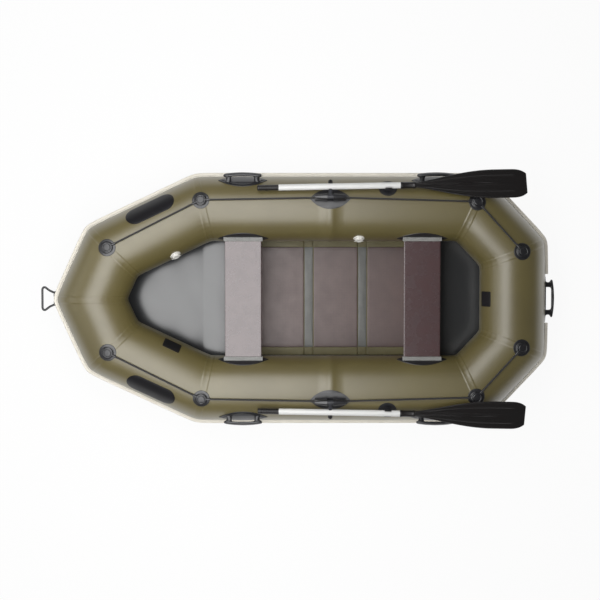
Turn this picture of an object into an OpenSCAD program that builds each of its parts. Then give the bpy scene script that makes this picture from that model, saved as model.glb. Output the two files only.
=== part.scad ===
// Inflatable PVC rowing boat: a ring of straight tubes mitred together, a fabric bottom with a
// board floor, two plank seats in flank holders, and two oars stowed in clips on swivel rowlocks.
// +X is the bow, +Y is port, +Z is up, and the bottom stands on z = 0.

/* [Tube ring] */
// Diameter of the inflated tubes
tube_d = 355; // [300:5:400]
// Width of the boat over the two side tubes
beam = 1338; // [1200:2:1500]
// Length of the straight side tube, between its two mitres
side_l = 1461; // [1200:1:1800]
// Length of the bow, from the side tube's mitre to the nose, along the raised bow
bow_l = 607; // [520:1:700]
// Rake of the nose tube: how far its middle stands ahead of its ends
nose_rake = 116; // [60:1:130]
// Half width of the nose tube, at its mitres
nose_half = 256; // [200:1:290]
// Angle by which the bow lifts off the flat bottom
bow_rise = 6; // [3:0.5:8]
// Length of the stern quarter, fore and aft
quarter_l = 230; // [180:1:280]
// Half width of the stern tube, at its mitres
stern_half = 248; // [200:1:290]
// Distance of the wall between the fore and the aft chamber ahead of the rowlock pins
chamber_shift = -2.5; // [-20:0.5:20]

/* [Bottom and floor] */
// Thickness of the bottom fabric
bottom_t = 3; // [2:0.5:5]
// How far the bottom reaches past the tubes' lowest line
bottom_lap = 55; // [40:1:70]
// Thickness of the floor mat's fabric
mat_t = 2.5; // [2:0.5:4]
// Width of the floor mat, across the boat
mat_w = 650; // [560:5:700]
// Length of one floor board, fore and aft
board_l = 245; // [200:1:265]
// Width of one floor board, across the boat
board_w = 560; // [480:2:600]
// Thickness of one floor board
board_t = 9; // [6:0.5:12]
// Distance from one floor board to the next, middle to middle
board_pitch = 301; // [285:1:330]
// Place of the middle floor board, fore and aft
board_x = -209; // [-240:1:-180]
// Width of the fabric hinge strip between two boards
strip_w = 46; // [20:1:50]
// Thickness of the fabric hinge strip
strip_t = 3; // [2:0.5:5]

/* [Seats] */
// Width of a seat board, fore and aft
seat_w = 198; // [160:2:240]
// Thickness of a seat board
seat_t = 12; // [9:0.5:16]
// Height of the seats' top face over the floor
seat_z = 262; // [245:1:275]
// Place of the fore seat's middle, fore and aft
seat_fore_x = 298; // [260:1:330]
// Place of the aft seat's middle, fore and aft
seat_aft_x = -671; // [-720:1:-630]
// How far the holder's lip covers the end of the seat
holder_lap = 9; // [5:0.5:14]
// Wall of the seat holder
holder_wall = 6; // [4:0.5:8]
// Length of the patch under a seat holder
seat_patch_l = 274; // [240:2:300]
// Width of the patch under a seat holder
seat_patch_w = 104; // [80:2:120]

/* [Rubbing strake] */
// How far the strake stands out from the tube
strake_out = 17; // [12:0.5:22]
// Height of the strake
strake_h = 44; // [36:1:54]
// Thickness of the lip that runs up the tube above the strake's ribs
strake_lip = 2; // [1.5:0.5:3]
// Length left open for the stern handle
strake_gap = 268; // [264:1:300]

/* [Lifeline] */
// Diameter of the rope
rope_d = 10; // [8:0.5:12]
// Diameter of a rope fixing's base
fixing_d = 92; // [80:1:100]
// Diameter of a rope fixing's cap
cap_d = 60; // [50:1:66]
// Height of a rope fixing's cap
cap_h = 15; // [13:0.5:16]
// Thickness of the moulded and glued bases on the tube
patch_t = 3; // [2:0.5:4]

/* [Rowlock] */
// Place of the rowlock pins, fore and aft
rowlock_x = -172; // [-200:1:-140]
// How far out from the tube's crest the rowlock axle lies
axle_out = 57; // [50:0.5:62]
// Height of the rowlock axle over the tube
axle_h = 34; // [32:0.5:40]
// Diameter of the rowlock axle
axle_d = 16; // [12:0.5:18]
// Running clearance of the axle in its bores
axle_fit = 0.08; // [0.05:0.01:0.1]
// Length of the rowlock base
rowlock_l = 219; // [190:1:240]
// Width of the rowlock base
rowlock_w = 110; // [90:1:120]
// Gap between the two cones of the rowlock
cone_gap = 33; // [30:1:40]
// Length of one cone
cone_l = 66; // [50:1:72]
// Diameter of a cone at its wide end
cone_d = 38; // [34:1:42]

/* [Oar] */
// Distance from the rowlock axle to the middle of the shaft
shaft_reach = 58; // [54:1:66]
// Angle of the stowed pin below level
pin_drop = 20; // [14:0.5:24]
// Angle by which the stowed oar opens outwards to the stern
splay = 1.1; // [0.8:0.05:1.4]
// Diameter of the oar shaft
shaft_d = 33; // [28:0.5:36]
// Length of the shaft ahead of the pin
shaft_fore = 276; // [220:1:320]
// Length of the shaft behind the pin
shaft_aft = 373; // [340:1:420]
// Length of the hand grip
grip_l = 113; // [100:1:140]
// Diameter of the hand grip
grip_d = 31; // [27:0.5:34]
// Length of the ferrule between the shaft and the blade
ferrule_l = 80; // [60:1:100]
// Wall of the ferrule
ferrule_wall = 1.5; // [1:0.5:3]
// Length of the blade
blade_l = 592; // [520:1:640]
// Width of the blade
blade_w = 164; // [140:1:172]
// Thickness of the blade
blade_t = 6; // [4:0.5:8]
// Diameter of the pin where it passes through the shaft
pin_d = 12; // [10:0.5:14]
// Diameter of the nut
nut_d = 24; // [20:0.5:28]
// Height of the nut
nut_h = 18; // [14:0.5:22]

/* [Oar clip] */
// Place of the clips behind the rowlock pins
clip_back = 308; // [280:1:340]
// Length of the jaw, along the shaft
clip_l = 36; // [28:1:44]
// Wall of the jaw
clip_wall = 5; // [3:0.5:7]
// Diameter of the clip's base
clip_base_d = 100; // [80:1:104]
// How much further outwards than the rowlock axle the clip's base lies
clip_base_turn = 21; // [20:0.5:24]
// Height of the clip's horn over the middle of the shaft
clip_horn_h = 20; // [16:1:24]

/* [Handles] */
// Length of a moulded handle's bar
handle_l = 213; // [190:1:230]
// Length of the finger opening
grip_gap_l = 126; // [110:1:140]
// How far a side handle stands out
handle_out = 48; // [42:0.5:52]
// Thickness of a handle's bar
handle_bar = 15; // [12:0.5:18]
// Width of a handle's bar
handle_w = 26; // [20:0.5:32]
// Length of a handle's base
handle_base_l = 263; // [240:1:280]
// Width of a handle's base
handle_base_w = 99; // [80:1:110]
// Place of the fore side handles, fore and aft
handle_fore_x = 298; // [270:1:320]
// Place of the aft side handles, fore and aft
handle_aft_x = -742; // [-760:1:-700]
// Angle of the side handles, outwards from the tube's crest
handle_angle = 56; // [50:1:62]
// How far the stern handle stands out
stern_handle_out = 52.5; // [46:0.5:58]

/* [Tow ring] */
// Width of the ring's outer bar
ring_w = 134; // [110:1:150]
// Width of the ring at its pin
ring_neck = 76; // [66:1:90]
// Reach of the ring from its pin to its tip
ring_reach = 76; // [60:1:90]
// Thickness of the ring's bar
ring_bar = 12; // [10:0.5:14]
// Diameter of the ring's pin
ring_pin_d = 8; // [6:0.5:10]
// Height of the pin below the nose tube's middle line
ring_drop = 38; // [34:0.5:46]
// Clear distance from the strake to the ring's pin
ring_stand = 9; // [8:0.5:14]

/* [Small fittings] */
// Diameter of a valve's flange
valve_d = 60; // [50:1:66]
// Height of a valve's cap
valve_h = 16; // [12:0.5:20]
// Length of a bow badge
badge_l = 279; // [240:1:300]
// Width of a bow badge
badge_w = 112; // [90:1:120]
// Thickness of badges and plates
plate_t = 1.5; // [1:0.5:2.5]
// Length and width of the fore plate
fore_plate = [98, 70]; // [40:1:110]
// Length and width of the stern plate
stern_plate = [82, 84]; // [40:1:110]
// Distance of the badges, the fore plate and the fore valve from the knee, along the bow
badge_s = 262; // [240:1:290]
fore_plate_s = 261; // [230:1:290]
valve_fore_s = 247; // [230:1:290]
// Place of the aft valve, fore and aft
valve_aft_x = -329; // [-360:1:-300]
// Angles outwards from the tube's crest, below zero on the cockpit side
badge_angle = 43; // [40:1:46]
fore_plate_angle = -55; // [-60:1:-50]
stern_plate_angle = -63; // [-66:1:-56]
valve_fore_angle = -66; // [-70:1:-60]
valve_aft_angle = -67; // [-70:1:-60]

/* [Hidden] */
$fn = 96;
tube_r = tube_d / 2;
axis_z = bottom_t + tube_r;
tube_y = beam / 2 - tube_r;
reach = 900;
seat_fit = 0.15;
glue_gap = 0.1;
LIP_FACETS = 3;
LIP_GAP = 3;
strake_glue = 0.35;   // the bow length's long facets are split the other way than the tubes' own

// Overall reach ahead of and behind the side tube, so that the frame's middle is the boat's.
ring_pin_back = tube_r + strake_out + ring_stand;
ext_fore = bow_l * cos(bow_rise) + ring_pin_back + ring_reach;
ext_aft = quarter_l + tube_r + stern_handle_out;
knee_x = (side_l + ext_aft - ext_fore) / 2;

// Middle line of the tubes on the port side, from the nose round to the stern, in the plane of
// the bow (first two lengths) or of the flat hull (the rest), counted from the knee.
line = [
    [bow_l, 0], [bow_l - nose_rake, nose_half], [0, tube_y],
    [-side_l, tube_y], [-side_l - quarter_l, stern_half], [-side_l - quarter_l, -stern_half]
];
NOSE = 0;
BOW = 1;
SIDE = 2;
STERN = 4;

function unit(v) = v / norm(v);
function lifted(i) = i < SIDE;
function world(raised, p) = raised
    ? [knee_x + p.x * cos(bow_rise) - p.z * sin(bow_rise), p.y,
       axis_z + p.x * sin(bow_rise) + p.z * cos(bow_rise)]
    : [knee_x + p.x, p.y, axis_z + p.z];
function corner(k) = world(lifted(k), [line[k].x, line[k].y, 0]);
function mirrored(p) = [p.x, -p.y, p.z];
function before(k) = k == 0 ? mirrored(corner(1)) : corner(k - 1);
function after(k) = k == 5 ? mirrored(corner(3)) : corner(k + 1);
function run_in(k) = unit(corner(k) - before(k));
function run_out(k) = unit(after(k) - corner(k));
function mitre(k) = unit(run_in(k) + run_out(k));
function seg_l(i) = norm(line[i + 1] - line[i]);
function seg_yaw(i) = atan2(line[i + 1].y - line[i].y, line[i + 1].x - line[i].x);
// A point over the straight side tube at station x.
function over_side(x, r, a) = [x, tube_y + r * sin(a), axis_z + r * cos(a)];

// A station of a sweep: its place, the way the tube runs, the cut's normal, outwards and up.
BOW_UP = [-sin(bow_rise), 0, cos(bow_rise)];
function up_at(k) = lifted(k) ? BOW_UP : [0, 0, 1];
function station(k) =
    [corner(k), run_out(k), mitre(k), unit(cross(run_out(k), up_at(k))), up_at(k)];
function side_station(x) = [[x, tube_y, axis_z], [-1, 0, 0], [-1, 0, 0], [0, 1, 0], [0, 0, 1]];
function stern_station(y) =
    [[corner(4).x, y, axis_z], [0, -1, 0], [0, -1, 0], [-1, 0, 0], [0, 0, 1]];
function flip(st) = [for (v = st) mirrored(v)];
// Point p = [outwards, up] of a profile, carried along the tube to the station's cut.
function carried(st, p) =
    let (q = p.x * st[3] + p.y * st[4])
    st[0] + q - st[1] * (q * st[2]) / (st[1] * st[2]);
// A point over corner k, at height r from the middle line and angle a outwards from the crest.
function over_corner(k, r, a) = carried(station(k), r * [sin(a), cos(a)]);
RING_SIDES = 72;
function ring_profile(r) = [for (n = [0 : RING_SIDES - 1])
    r * [-sin(360 * n / RING_SIDES), cos(360 * n / RING_SIDES)]];

// Rope fixings sit on the mitres, each at its own angle outwards from the crest.
fixing_angle = [0, 10, 13, 10, 8];
fixings = [1, 2, 3, 4];
rope_lift = tube_r + rope_d / 2 + 0.4;
rope_side_angle = asin((axle_out - 5) / rope_lift);
rope_route = [
    over_corner(1, rope_lift, fixing_angle[1]),
    over_corner(2, rope_lift, fixing_angle[2]),
    over_side(rowlock_x + rowlock_l / 2, rope_lift, rope_side_angle),
    over_side(rowlock_x - rowlock_l / 2, rope_lift, rope_side_angle),
    over_corner(3, rope_lift, fixing_angle[3]),
    over_corner(4, rope_lift, fixing_angle[4])
];
rope_fit = 0.4;

axle_angle = asin(axle_out / (tube_r + axle_h));
axle_pos = over_side(rowlock_x, tube_r + axle_h, axle_angle);
side_s = knee_x - rowlock_x;
cone_inner = cone_gap / 2;
axle_l = cone_gap + cone_l;
shoulder_end = shaft_reach - shaft_d / 2 - 0.3;
nut_start = shaft_reach + shaft_d / 2 + 0.3;
jaw_fit = 0.3;
chamber_x = rowlock_x + chamber_shift;

// How far from the middle of the boat a side tube of radius r starts, at height z.
function tube_inner_at(z, r) = tube_y - sqrt(r * r - (z - axis_z) * (z - axis_z));
seat_end_gap = 3;
seat_half = tube_inner_at(seat_z - seat_t, tube_r + patch_t) - seat_end_gap;
seat_patch_angle = -66;

OLIVE = [0.47, 0.44, 0.31];
IVORY = [0.9, 0.87, 0.8];
BLACK = [0.1, 0.1, 0.11];
GREY = [0.5, 0.5, 0.5];
PLY = [0.5, 0.45, 0.43];
WHITE = [0.93, 0.93, 0.92];

// ---- placing ----

module plane(raised) {
    translate([knee_x, 0, axis_z]) rotate([0, raised ? -bow_rise : 0, 0]) children();
}

// Puts children on tube length i, s along from its start. X runs along the tube, and angle a
// turns Z from the crest outwards.
module on_tube(i, s, a = 0) {
    plane(lifted(i)) translate([line[i].x, line[i].y, 0]) rotate([0, 0, seg_yaw(i)])
        translate([s, 0, 0]) rotate([a, 0, 0]) children();
}

// Turns Z to direction d at point p.
module facing(p, d) {
    translate(p) rotate([0, acos(d.z), atan2(d.y, d.x)]) children();
}

// Makes one smooth mesh of its children, with their size unchanged.
module one_mesh() {
    resize([0, 0, 0]) children();
}

module both_sides() {
    children();
    mirror([0, 1, 0]) children();
}

module rod(r, l) {
    rotate([0, 90, 0]) cylinder(r = r, h = l, center = true);
}

// Carries a profile, a list of [outwards, up] points, past a list of stations.
module sweep(profile, stations) {
    sides = len(profile);
    last = len(stations) - 1;
    walls = [for (k = [0 : last - 1]) for (n = [0 : sides - 1])
        let (a = k * sides + n, b = k * sides + (n + 1) % sides)
        [a, b, b + sides, a + sides]];
    ends = [[for (n = [sides - 1 : -1 : 0]) n], [for (n = [0 : sides - 1]) last * sides + n]];
    polyhedron(
        points = [for (st = stations) for (p = profile) carried(st, p)],
        faces = concat(walls, ends), convexity = 8
    );
}

// The ring at radius r, close to corner k.
module tube_corner(k, r) {
    near = 150;
    back = k == 2 ? run_in(k) : run_out(k - 1);
    start = [corner(k) - near * back, back, back, unit(cross(back, up_at(k - 1))), up_at(k - 1)];
    end = [corner(k) + near * run_out(k), run_out(k), run_out(k), station(k)[3], up_at(k)];
    sweep(ring_profile(r), [start, station(k), end]);
}

// ---- flat shapes ----

module lens(l, w) {
    bulge = (l * l / 4 + w * w / 4) / w;
    intersection() {
        translate([0, bulge - w / 2]) circle(r = bulge);
        translate([0, w / 2 - bulge]) circle(r = bulge);
    }
}

module oval(l, w) {
    translate([w / 2 - l / 2, 0]) circle(d = w);
    translate([l / 2 - w / 2, 0]) circle(d = w);
    square([l - w, w], center = true);
}

// A thin skin of thickness t on the tube, with its outline the child, in on_tube's place.
module skin(t, l) {
    intersection() {
        linear_extrude(height = tube_r + 2 * t) children();
        difference() {
            rod(tube_r + t, l + 4);
            rod(tube_r, l + 6);
        }
    }
}

// ---- hull ----

module fore_tubes(r) {
    port = [station(1), station(2), side_station(chamber_x)];
    star = [for (n = [2, 1, 0]) flip(port[n])];
    sweep(ring_profile(r), concat(star, [station(0)], port));
}

module aft_tubes(r) {
    port = [side_station(chamber_x), station(3), station(4)];
    star = [for (n = [2, 1, 0]) flip(port[n])];
    sweep(ring_profile(r), concat(port, star));
}

module fore_chamber() { color(OLIVE) fore_tubes(tube_r); }
module aft_chamber() { color(OLIVE) aft_tubes(tube_r); }

// Corner k of the ring's outline, moved outwards by w in its plane.
function turn_at(k) =
    let (a = k == 0 ? [line[1].x, -line[1].y] : line[k - 1], b = line[k + 1])
    let (d = unit(line[k] - a), e = unit(b - line[k]))
    unit(d - e) / sqrt((1 + d * e) / 2);
function outline(k, w) = line[k] + w * turn_at(k);

module flat_outline(w, fold) {
    port = [for (k = [2, 3, 4]) outline(k, w)];
    star = [for (k = [4, 3, 2]) [outline(k, w).x, -outline(k, w).y]];
    y = outline(2, w).y;
    polygon(concat([[fold, y]], port, star, [[fold, -y]]));
}

module bow_outline(w, fold) {
    port = [for (k = [0, 1, 2]) outline(k, w)];
    star = [for (k = [2, 1]) [outline(k, w).x, -outline(k, w).y]];
    y = outline(2, w).y;
    polygon(concat(port, [[fold, y], [fold, -y]], star));
}

module bottom_panel() {
    fold = axis_z * tan(bow_rise / 2);
    lap_h = bottom_t + tube_r - sqrt(tube_r * tube_r - bottom_lap * bottom_lap);
    color(GREY) one_mesh() difference() {
        union() {
            plane(false) translate([0, 0, -axis_z]) {
                linear_extrude(height = bottom_t) flat_outline(bottom_lap, fold);
                linear_extrude(height = lap_h) difference() {
                    flat_outline(bottom_lap, 0);
                    flat_outline(-bottom_lap, 1);
                }
            }
            plane(true) translate([0, 0, -axis_z]) {
                linear_extrude(height = bottom_t) bow_outline(bottom_lap, -fold);
                linear_extrude(height = lap_h) difference() {
                    bow_outline(bottom_lap, 0);
                    bow_outline(-bottom_lap, -1);
                }
            }
        }
        fore_tubes(tube_r + glue_gap);
        aft_tubes(tube_r + glue_gap);
    }
}

// The strake's outline: two ribs on a band that hugs the tube, with a lip above them.
function strake_profile() =
    let (rib = strake_h / 4, steps = 6, r = tube_r + strake_glue, lip_r = r + strake_lip)
    let (side = 360 / RING_SIDES, flat_h = r * sin(side), next_h = r * sin(2 * side))
    let (edge_out = r * cos(side) - (2 * rib - flat_h) / (next_h - flat_h) * r * (cos(side) - cos(2 * side)))
    let (lip_low = asin((2 * rib + LIP_GAP) / lip_r), lip_high = LIP_FACETS * side)
    let (inner = [for (n = [LIP_FACETS : -1 : -1]) r * [cos(n * side), sin(n * side)]])
    let (ribs = [for (s = [-1, 1]) for (n = [0 : steps]) let (a = -90 + 180 * n / steps)
        [tube_r + strake_out - rib + rib * cos(a), s * rib + rib * (1 - 0.01) * sin(a)]])
    concat(inner, [[edge_out, -2 * rib]], ribs,
        [for (a = [lip_low, lip_high]) lip_r * [cos(a), sin(a)]]);

module strake_port() {
    color(IVORY) sweep(
        strake_profile(),
        [station(0), station(1), station(2), station(3), station(4), stern_station(strake_gap / 2)]
    );
}

module strake_starboard() {
    mirror([0, 1, 0]) strake_port();
}

// ---- floor ----

module floor_mat() {
    mat_l = board_l + 2 * board_pitch + 16;
    color(OLIVE) translate([board_x, 0, bottom_t + mat_t / 2])
        cube([mat_l, mat_w, mat_t], center = true);
}

module floor_board(n) {
    color(PLY) translate([board_x + n * board_pitch, 0, bottom_t + mat_t])
        linear_extrude(height = board_t) square([board_l, board_w], center = true);
}

module floor_board_fore() { floor_board(1); }
module floor_board_mid() { floor_board(0); }
module floor_board_aft() { floor_board(-1); }

module mat_strips() {
    color(GREY) for (s = [-0.5, 0.5])
        translate([board_x + s * board_pitch, 0, bottom_t + mat_t + strip_t / 2])
            cube([strip_w, board_w, strip_t], center = true);
}

// ---- seats ----

module seat(x) {
    color(PLY) translate([x, 0, seat_z - seat_t])
        linear_extrude(height = seat_t) square([seat_w, 2 * seat_half], center = true);
}

module seat_fore() { seat(seat_fore_x); }
module seat_aft() { seat(seat_aft_x); }

module seat_holder_profile() {
    low = seat_z - seat_t - seat_fit - holder_wall;
    difference() {
        translate([seat_half - holder_lap, low]) square([60, seat_z + holder_wall + seat_fit - low]);
        translate([0, seat_z - seat_t - seat_fit]) square([seat_half + seat_fit, seat_t + 2 * seat_fit]);
        translate([tube_y, axis_z]) circle(r = tube_r + patch_t);
    }
}

module seat_holders() {
    color(GREY) for (x = [seat_fore_x, seat_aft_x])
        both_sides() translate([x - seat_w / 2 - holder_wall, 0, 0]) rotate([90, 0, 90])
            linear_extrude(height = seat_w + 2 * holder_wall) seat_holder_profile();
}

module seat_patches() {
    color(BLACK) for (x = [seat_fore_x, seat_aft_x])
        both_sides() on_tube(SIDE, knee_x - x, seat_patch_angle)
            skin(patch_t, seat_patch_l) lens(seat_patch_l, seat_patch_w);
}

// ---- rowlocks and oars ----

module rope_hole() {
    rope_y = rope_lift * sin(rope_side_angle);
    rope_z = rope_lift * cos(rope_side_angle);
    on_tube(SIDE, side_s) translate([0, -rope_y, rope_z]) rod(rope_d / 2 + rope_fit, rowlock_l + 40);
}

module rowlock_port() {
    foot_top = tube_r + axle_h;
    color(BLACK) difference() {
        union() {
            on_tube(SIDE, side_s, axle_angle) {
                skin(patch_t, rowlock_l) lens(rowlock_l, rowlock_w);
                for (s = [-1, 1]) scale_x(s) {
                    translate([cone_inner, 0, foot_top]) rotate([0, 90, 0])
                        cylinder(d1 = cone_d, d2 = cone_d / 2, h = cone_l);
                    rotate([90, 0, 0]) linear_extrude(height = cone_d * 0.7, center = true)
                        polygon([
                            [cone_inner, foot_top], [cone_inner, tube_r - 4],
                            [cone_inner + cone_l, tube_r - 4], [cone_inner + cone_l, foot_top - 4]
                        ]);
                }
            }
        }
        on_tube(SIDE, side_s) rod(tube_r, rowlock_l + 40);
        on_tube(SIDE, side_s, axle_angle) translate([0, 0, foot_top])
            rod(axle_d / 2 + axle_fit, axle_l + 1);
        rope_hole();
    }
}

module scale_x(s) {
    mirror([s < 0 ? 1 : 0, 0, 0]) children();
}

// The oar's own place: X along the shaft to the grip, Y along the pin outwards.
module oar_place() {
    translate(axle_pos) rotate([-pin_drop, 0, 0]) children();
}

module shaft_place() {
    oar_place() translate([0, shaft_reach, 0]) rotate([0, 0, -splay]) children();
}

module oar_pin_port() {
    color(GREY) oar_place() {
        rod(axle_d / 2, axle_l);
        rod(axle_d / 2 + 5, cone_gap - 3);
        rotate([-90, 0, 0]) cylinder(d = pin_d + 8, h = shoulder_end);
        rotate([-90, 0, 0]) cylinder(d = pin_d, h = nut_start + nut_h + 3);
    }
}

module oar_nut_port() {
    color(BLACK) oar_place() translate([0, nut_start, 0]) rotate([-90, 0, 0]) difference() {
        cylinder(d = nut_d, h = nut_h);
        translate([0, 0, -1]) cylinder(d = pin_d + 0.1, h = nut_h + 2);
    }
}

module oar_shaft_port() {
    color(WHITE) difference() {
        shaft_place() rotate([0, 90, 0]) translate([0, 0, -shaft_aft])
            cylinder(d = shaft_d, h = shaft_aft + shaft_fore);
        oar_place() rotate([-90, 0, 0]) cylinder(d = pin_d + 1.5, h = 2 * shaft_reach);
    }
}

module oar_grip_port() {
    color(BLACK) shaft_place() translate([shaft_fore, 0, 0]) rotate([0, 90, 0])
        cylinder(d = grip_d, h = grip_l);
}

module oar_ferrule_port() {
    color(BLACK) shaft_place() translate([-shaft_aft - ferrule_l, 0, 0]) rotate([0, 90, 0])
        cylinder(d = shaft_d + 2 * ferrule_wall, h = ferrule_l);
}

// Half width of the blade at share t of its length, from the ferrule (0) to the tip (1).
function blade_half(t) =
    let (root = shaft_d * 0.4, full = blade_w / 2)
    let (rise = t < 0.72 ? sin(90 * t / 0.72) : 1)
    let (tip = t < 0.86 ? 1 : sqrt(max(0, 1 - pow((t - 0.86) / 0.14, 2.6) * 0.55)))
    (root + (full - root) * pow(rise, 1.25)) * tip;

module oar_blade_port() {
    steps = 28;
    upper = [for (n = [0 : steps]) [-blade_l * n / steps, blade_half(n / steps)]];
    lower = [for (n = [steps : -1 : 0]) [-blade_l * n / steps, -blade_half(n / steps)]];
    color(BLACK) shaft_place() translate([-shaft_aft - ferrule_l, 0, 0]) {
        translate([0, 0, -blade_t / 2]) linear_extrude(height = blade_t) polygon(concat(upper, lower));
        translate([-blade_l * 0.4, 0, 0]) cube([blade_l * 0.8, 12, 16], center = true);
    }
}

module oar_pin_starboard() { mirror([0, 1, 0]) oar_pin_port(); }
module oar_nut_starboard() { mirror([0, 1, 0]) oar_nut_port(); }
module oar_shaft_starboard() { mirror([0, 1, 0]) oar_shaft_port(); }
module oar_grip_starboard() { mirror([0, 1, 0]) oar_grip_port(); }
module oar_ferrule_starboard() { mirror([0, 1, 0]) oar_ferrule_port(); }
module oar_blade_starboard() { mirror([0, 1, 0]) oar_blade_port(); }
module rowlock_starboard() { mirror([0, 1, 0]) rowlock_port(); }

// The clip's jaw is a half ring under the shaft, open along the shaft's way out, with a horn on
// its inboard side that follows the shaft's swing about the rowlock axle.
module jaw_profile() {
    reach_here = shaft_reach + clip_back * tan(splay);
    inner = shaft_d / 2 + jaw_fit;
    outer = inner + clip_wall;
    horn_r = reach_here - inner - jaw_fit;
    difference() {
        circle(r = outer);
        circle(r = inner);
        translate([-2 * outer, 0]) square([4 * outer, 2 * outer]);
    }
    intersection() {
        translate([-reach_here, 0]) difference() {
            circle(r = horn_r);
            circle(r = horn_r - clip_wall + 1);
        }
        translate([-outer - 12, -2]) square([outer + 12, clip_horn_h + 2]);
    }
}

module clip_post_profile() {
    top = shaft_d / 2 + jaw_fit + 1;
    polygon([[-12, -top], [12, -top], [6, -2 * axle_h], [-34, -2 * axle_h]]);
}

module oar_clip_port() {
    color(BLACK) {
        difference() {
            shaft_place() translate([-clip_back, 0, 0]) rotate([90, 0, 90]) {
                linear_extrude(height = clip_l, center = true) jaw_profile();
                linear_extrude(height = clip_l * 0.8, center = true) clip_post_profile();
            }
            on_tube(SIDE, side_s + clip_back) rod(tube_r, 200);
        }
        on_tube(SIDE, side_s + clip_back, axle_angle + clip_base_turn)
            skin(patch_t, clip_base_d) circle(d = clip_base_d);
    }
}

module oar_clip_starboard() { mirror([0, 1, 0]) oar_clip_port(); }

// ---- handles and tow ring ----

// A moulded handle standing on the tube: a bar on two legs over a lens-shaped base.
module handle(out) {
    difference() {
        union() {
            rotate([90, 0, 0]) linear_extrude(height = handle_w, center = true) difference() {
                polygon([
                    [-handle_l / 2, tube_r - 3], [handle_l / 2, tube_r - 3],
                    [handle_l / 2 - 4, tube_r + out * 0.6], [handle_l / 2 - 22, tube_r + out],
                    [22 - handle_l / 2, tube_r + out], [4 - handle_l / 2, tube_r + out * 0.6]
                ]);
                polygon([
                    [-grip_gap_l / 2, tube_r + patch_t], [grip_gap_l / 2, tube_r + patch_t],
                    [grip_gap_l / 2, tube_r + out - handle_bar - 8],
                    [grip_gap_l / 2 - 10, tube_r + out - handle_bar],
                    [10 - grip_gap_l / 2, tube_r + out - handle_bar],
                    [-grip_gap_l / 2, tube_r + out - handle_bar - 8]
                ]);
            }
            skin(patch_t, handle_base_l) lens(handle_base_l, handle_base_w);
        }
        rod(tube_r, handle_base_l + 20);
    }
}

module handles_port() {
    color(BLACK) for (x = [handle_fore_x, handle_aft_x])
        on_tube(SIDE, knee_x - x, handle_angle) handle(handle_out);
}

module handles_starboard() { mirror([0, 1, 0]) handles_port(); }

module stern_handle() {
    color(BLACK) on_tube(STERN, stern_half, 90) handle(stern_handle_out);
}

// The ring's own place: at its pin, ahead of the nose and level.
module tow_place() {
    translate([corner(0).x + ring_pin_back, 0, corner(0).z - ring_drop]) children();
}

// The two halves of the nose tube at radius r, each cut at the middle of the boat.
module nose_tube(r) {
    both_sides() difference() {
        on_tube(NOSE, seg_l(NOSE) / 2) rod(r, seg_l(NOSE) + tube_d);
        translate([0, -2 * reach, 0]) cube([2 * reach, 2 * reach, reach]);
    }
}

module tow_bracket() {
    lug_w = ring_neck - 2 * ring_bar - 2;
    color(BLACK) difference() {
        union() {
            tow_place() difference() {
                rotate([90, 0, 0]) linear_extrude(height = lug_w, center = true)
                    polygon([[-70, 4], [-70, -26], [-10, -12], [6, -7], [9, 0], [6, 7], [-10, 12]]);
                rotate([90, 0, 0]) cylinder(d = ring_pin_d + 0.1, h = 200, center = true);
                cube([40, lug_w - 26, 80], center = true);
            }
            difference() {
                intersection() {
                    tow_place() translate([-40, 0, -14]) rotate([0, 90, 0])
                        linear_extrude(height = 160, center = true) lens(96, 150);
                    nose_tube(tube_r + patch_t);
                }
                plane(true) translate([0, -reach, -strake_h / 2 - 1]) cube([reach, 2 * reach, reach]);
            }
        }
        nose_tube(tube_r);
    }
}

module tow_pin() {
    color(GREY) tow_place() rotate([90, 0, 0]) cylinder(d = ring_pin_d, h = ring_neck + 6, center = true);
}

// A flat ring with a wide outer bar and two arms that draw in to eyes on the pin.
module tow_ring() {
    tip = ring_reach;
    color(BLACK) tow_place() difference() {
        union() {
            translate([0, 0, -ring_bar / 2]) linear_extrude(height = ring_bar) difference() {
                polygon([
                    [0, ring_neck / 2], [tip - 12, ring_w / 2], [tip, ring_w / 2 - 8],
                    [tip, 8 - ring_w / 2], [tip - 12, -ring_w / 2], [0, -ring_neck / 2]
                ]);
                polygon([
                    [-1, ring_neck / 2 - ring_bar], [tip - 20, ring_w / 2 - ring_bar],
                    [tip - ring_bar - 2, ring_w / 2 - ring_bar - 6],
                    [tip - ring_bar - 2, 6 + ring_bar - ring_w / 2],
                    [tip - 20, ring_bar - ring_w / 2], [-1, ring_bar - ring_neck / 2]
                ]);
            }
            for (s = [-1, 1]) translate([0, s * (ring_neck - ring_bar) / 2, 0])
                rotate([90, 0, 0]) cylinder(d = ring_bar + 4, h = ring_bar, center = true);
        }
        rotate([90, 0, 0]) cylinder(d = ring_pin_d + 0.16, h = 200, center = true);
    }
}

// ---- lifeline ----

// A station of the rope at point k of route r.
function route_in(r, k) = unit(r[max(k, 1)] - r[max(k, 1) - 1]);
function route_out(r, k) = unit(r[min(k, len(r) - 2) + 1] - r[min(k, len(r) - 2)]);
function rope_station(r, k) =
    let (m = unit(route_in(r, k) + route_out(r, k)))
    let (side = unit(cross(m, [0, 0, 1])))
    [r[k], m, m, side, cross(side, m)];
function rope_profile(t) = [for (n = [0 : 7]) t * [-sin(45 * n), cos(45 * n)]];

module rope(t) {
    sweep(rope_profile(t), [for (k = [0 : len(rope_route) - 1]) rope_station(rope_route, k)]);
}

module lifeline_port() {
    color(BLACK) rope(rope_d / 2);
}

module lifeline_starboard() { mirror([0, 1, 0]) lifeline_port(); }

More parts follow.
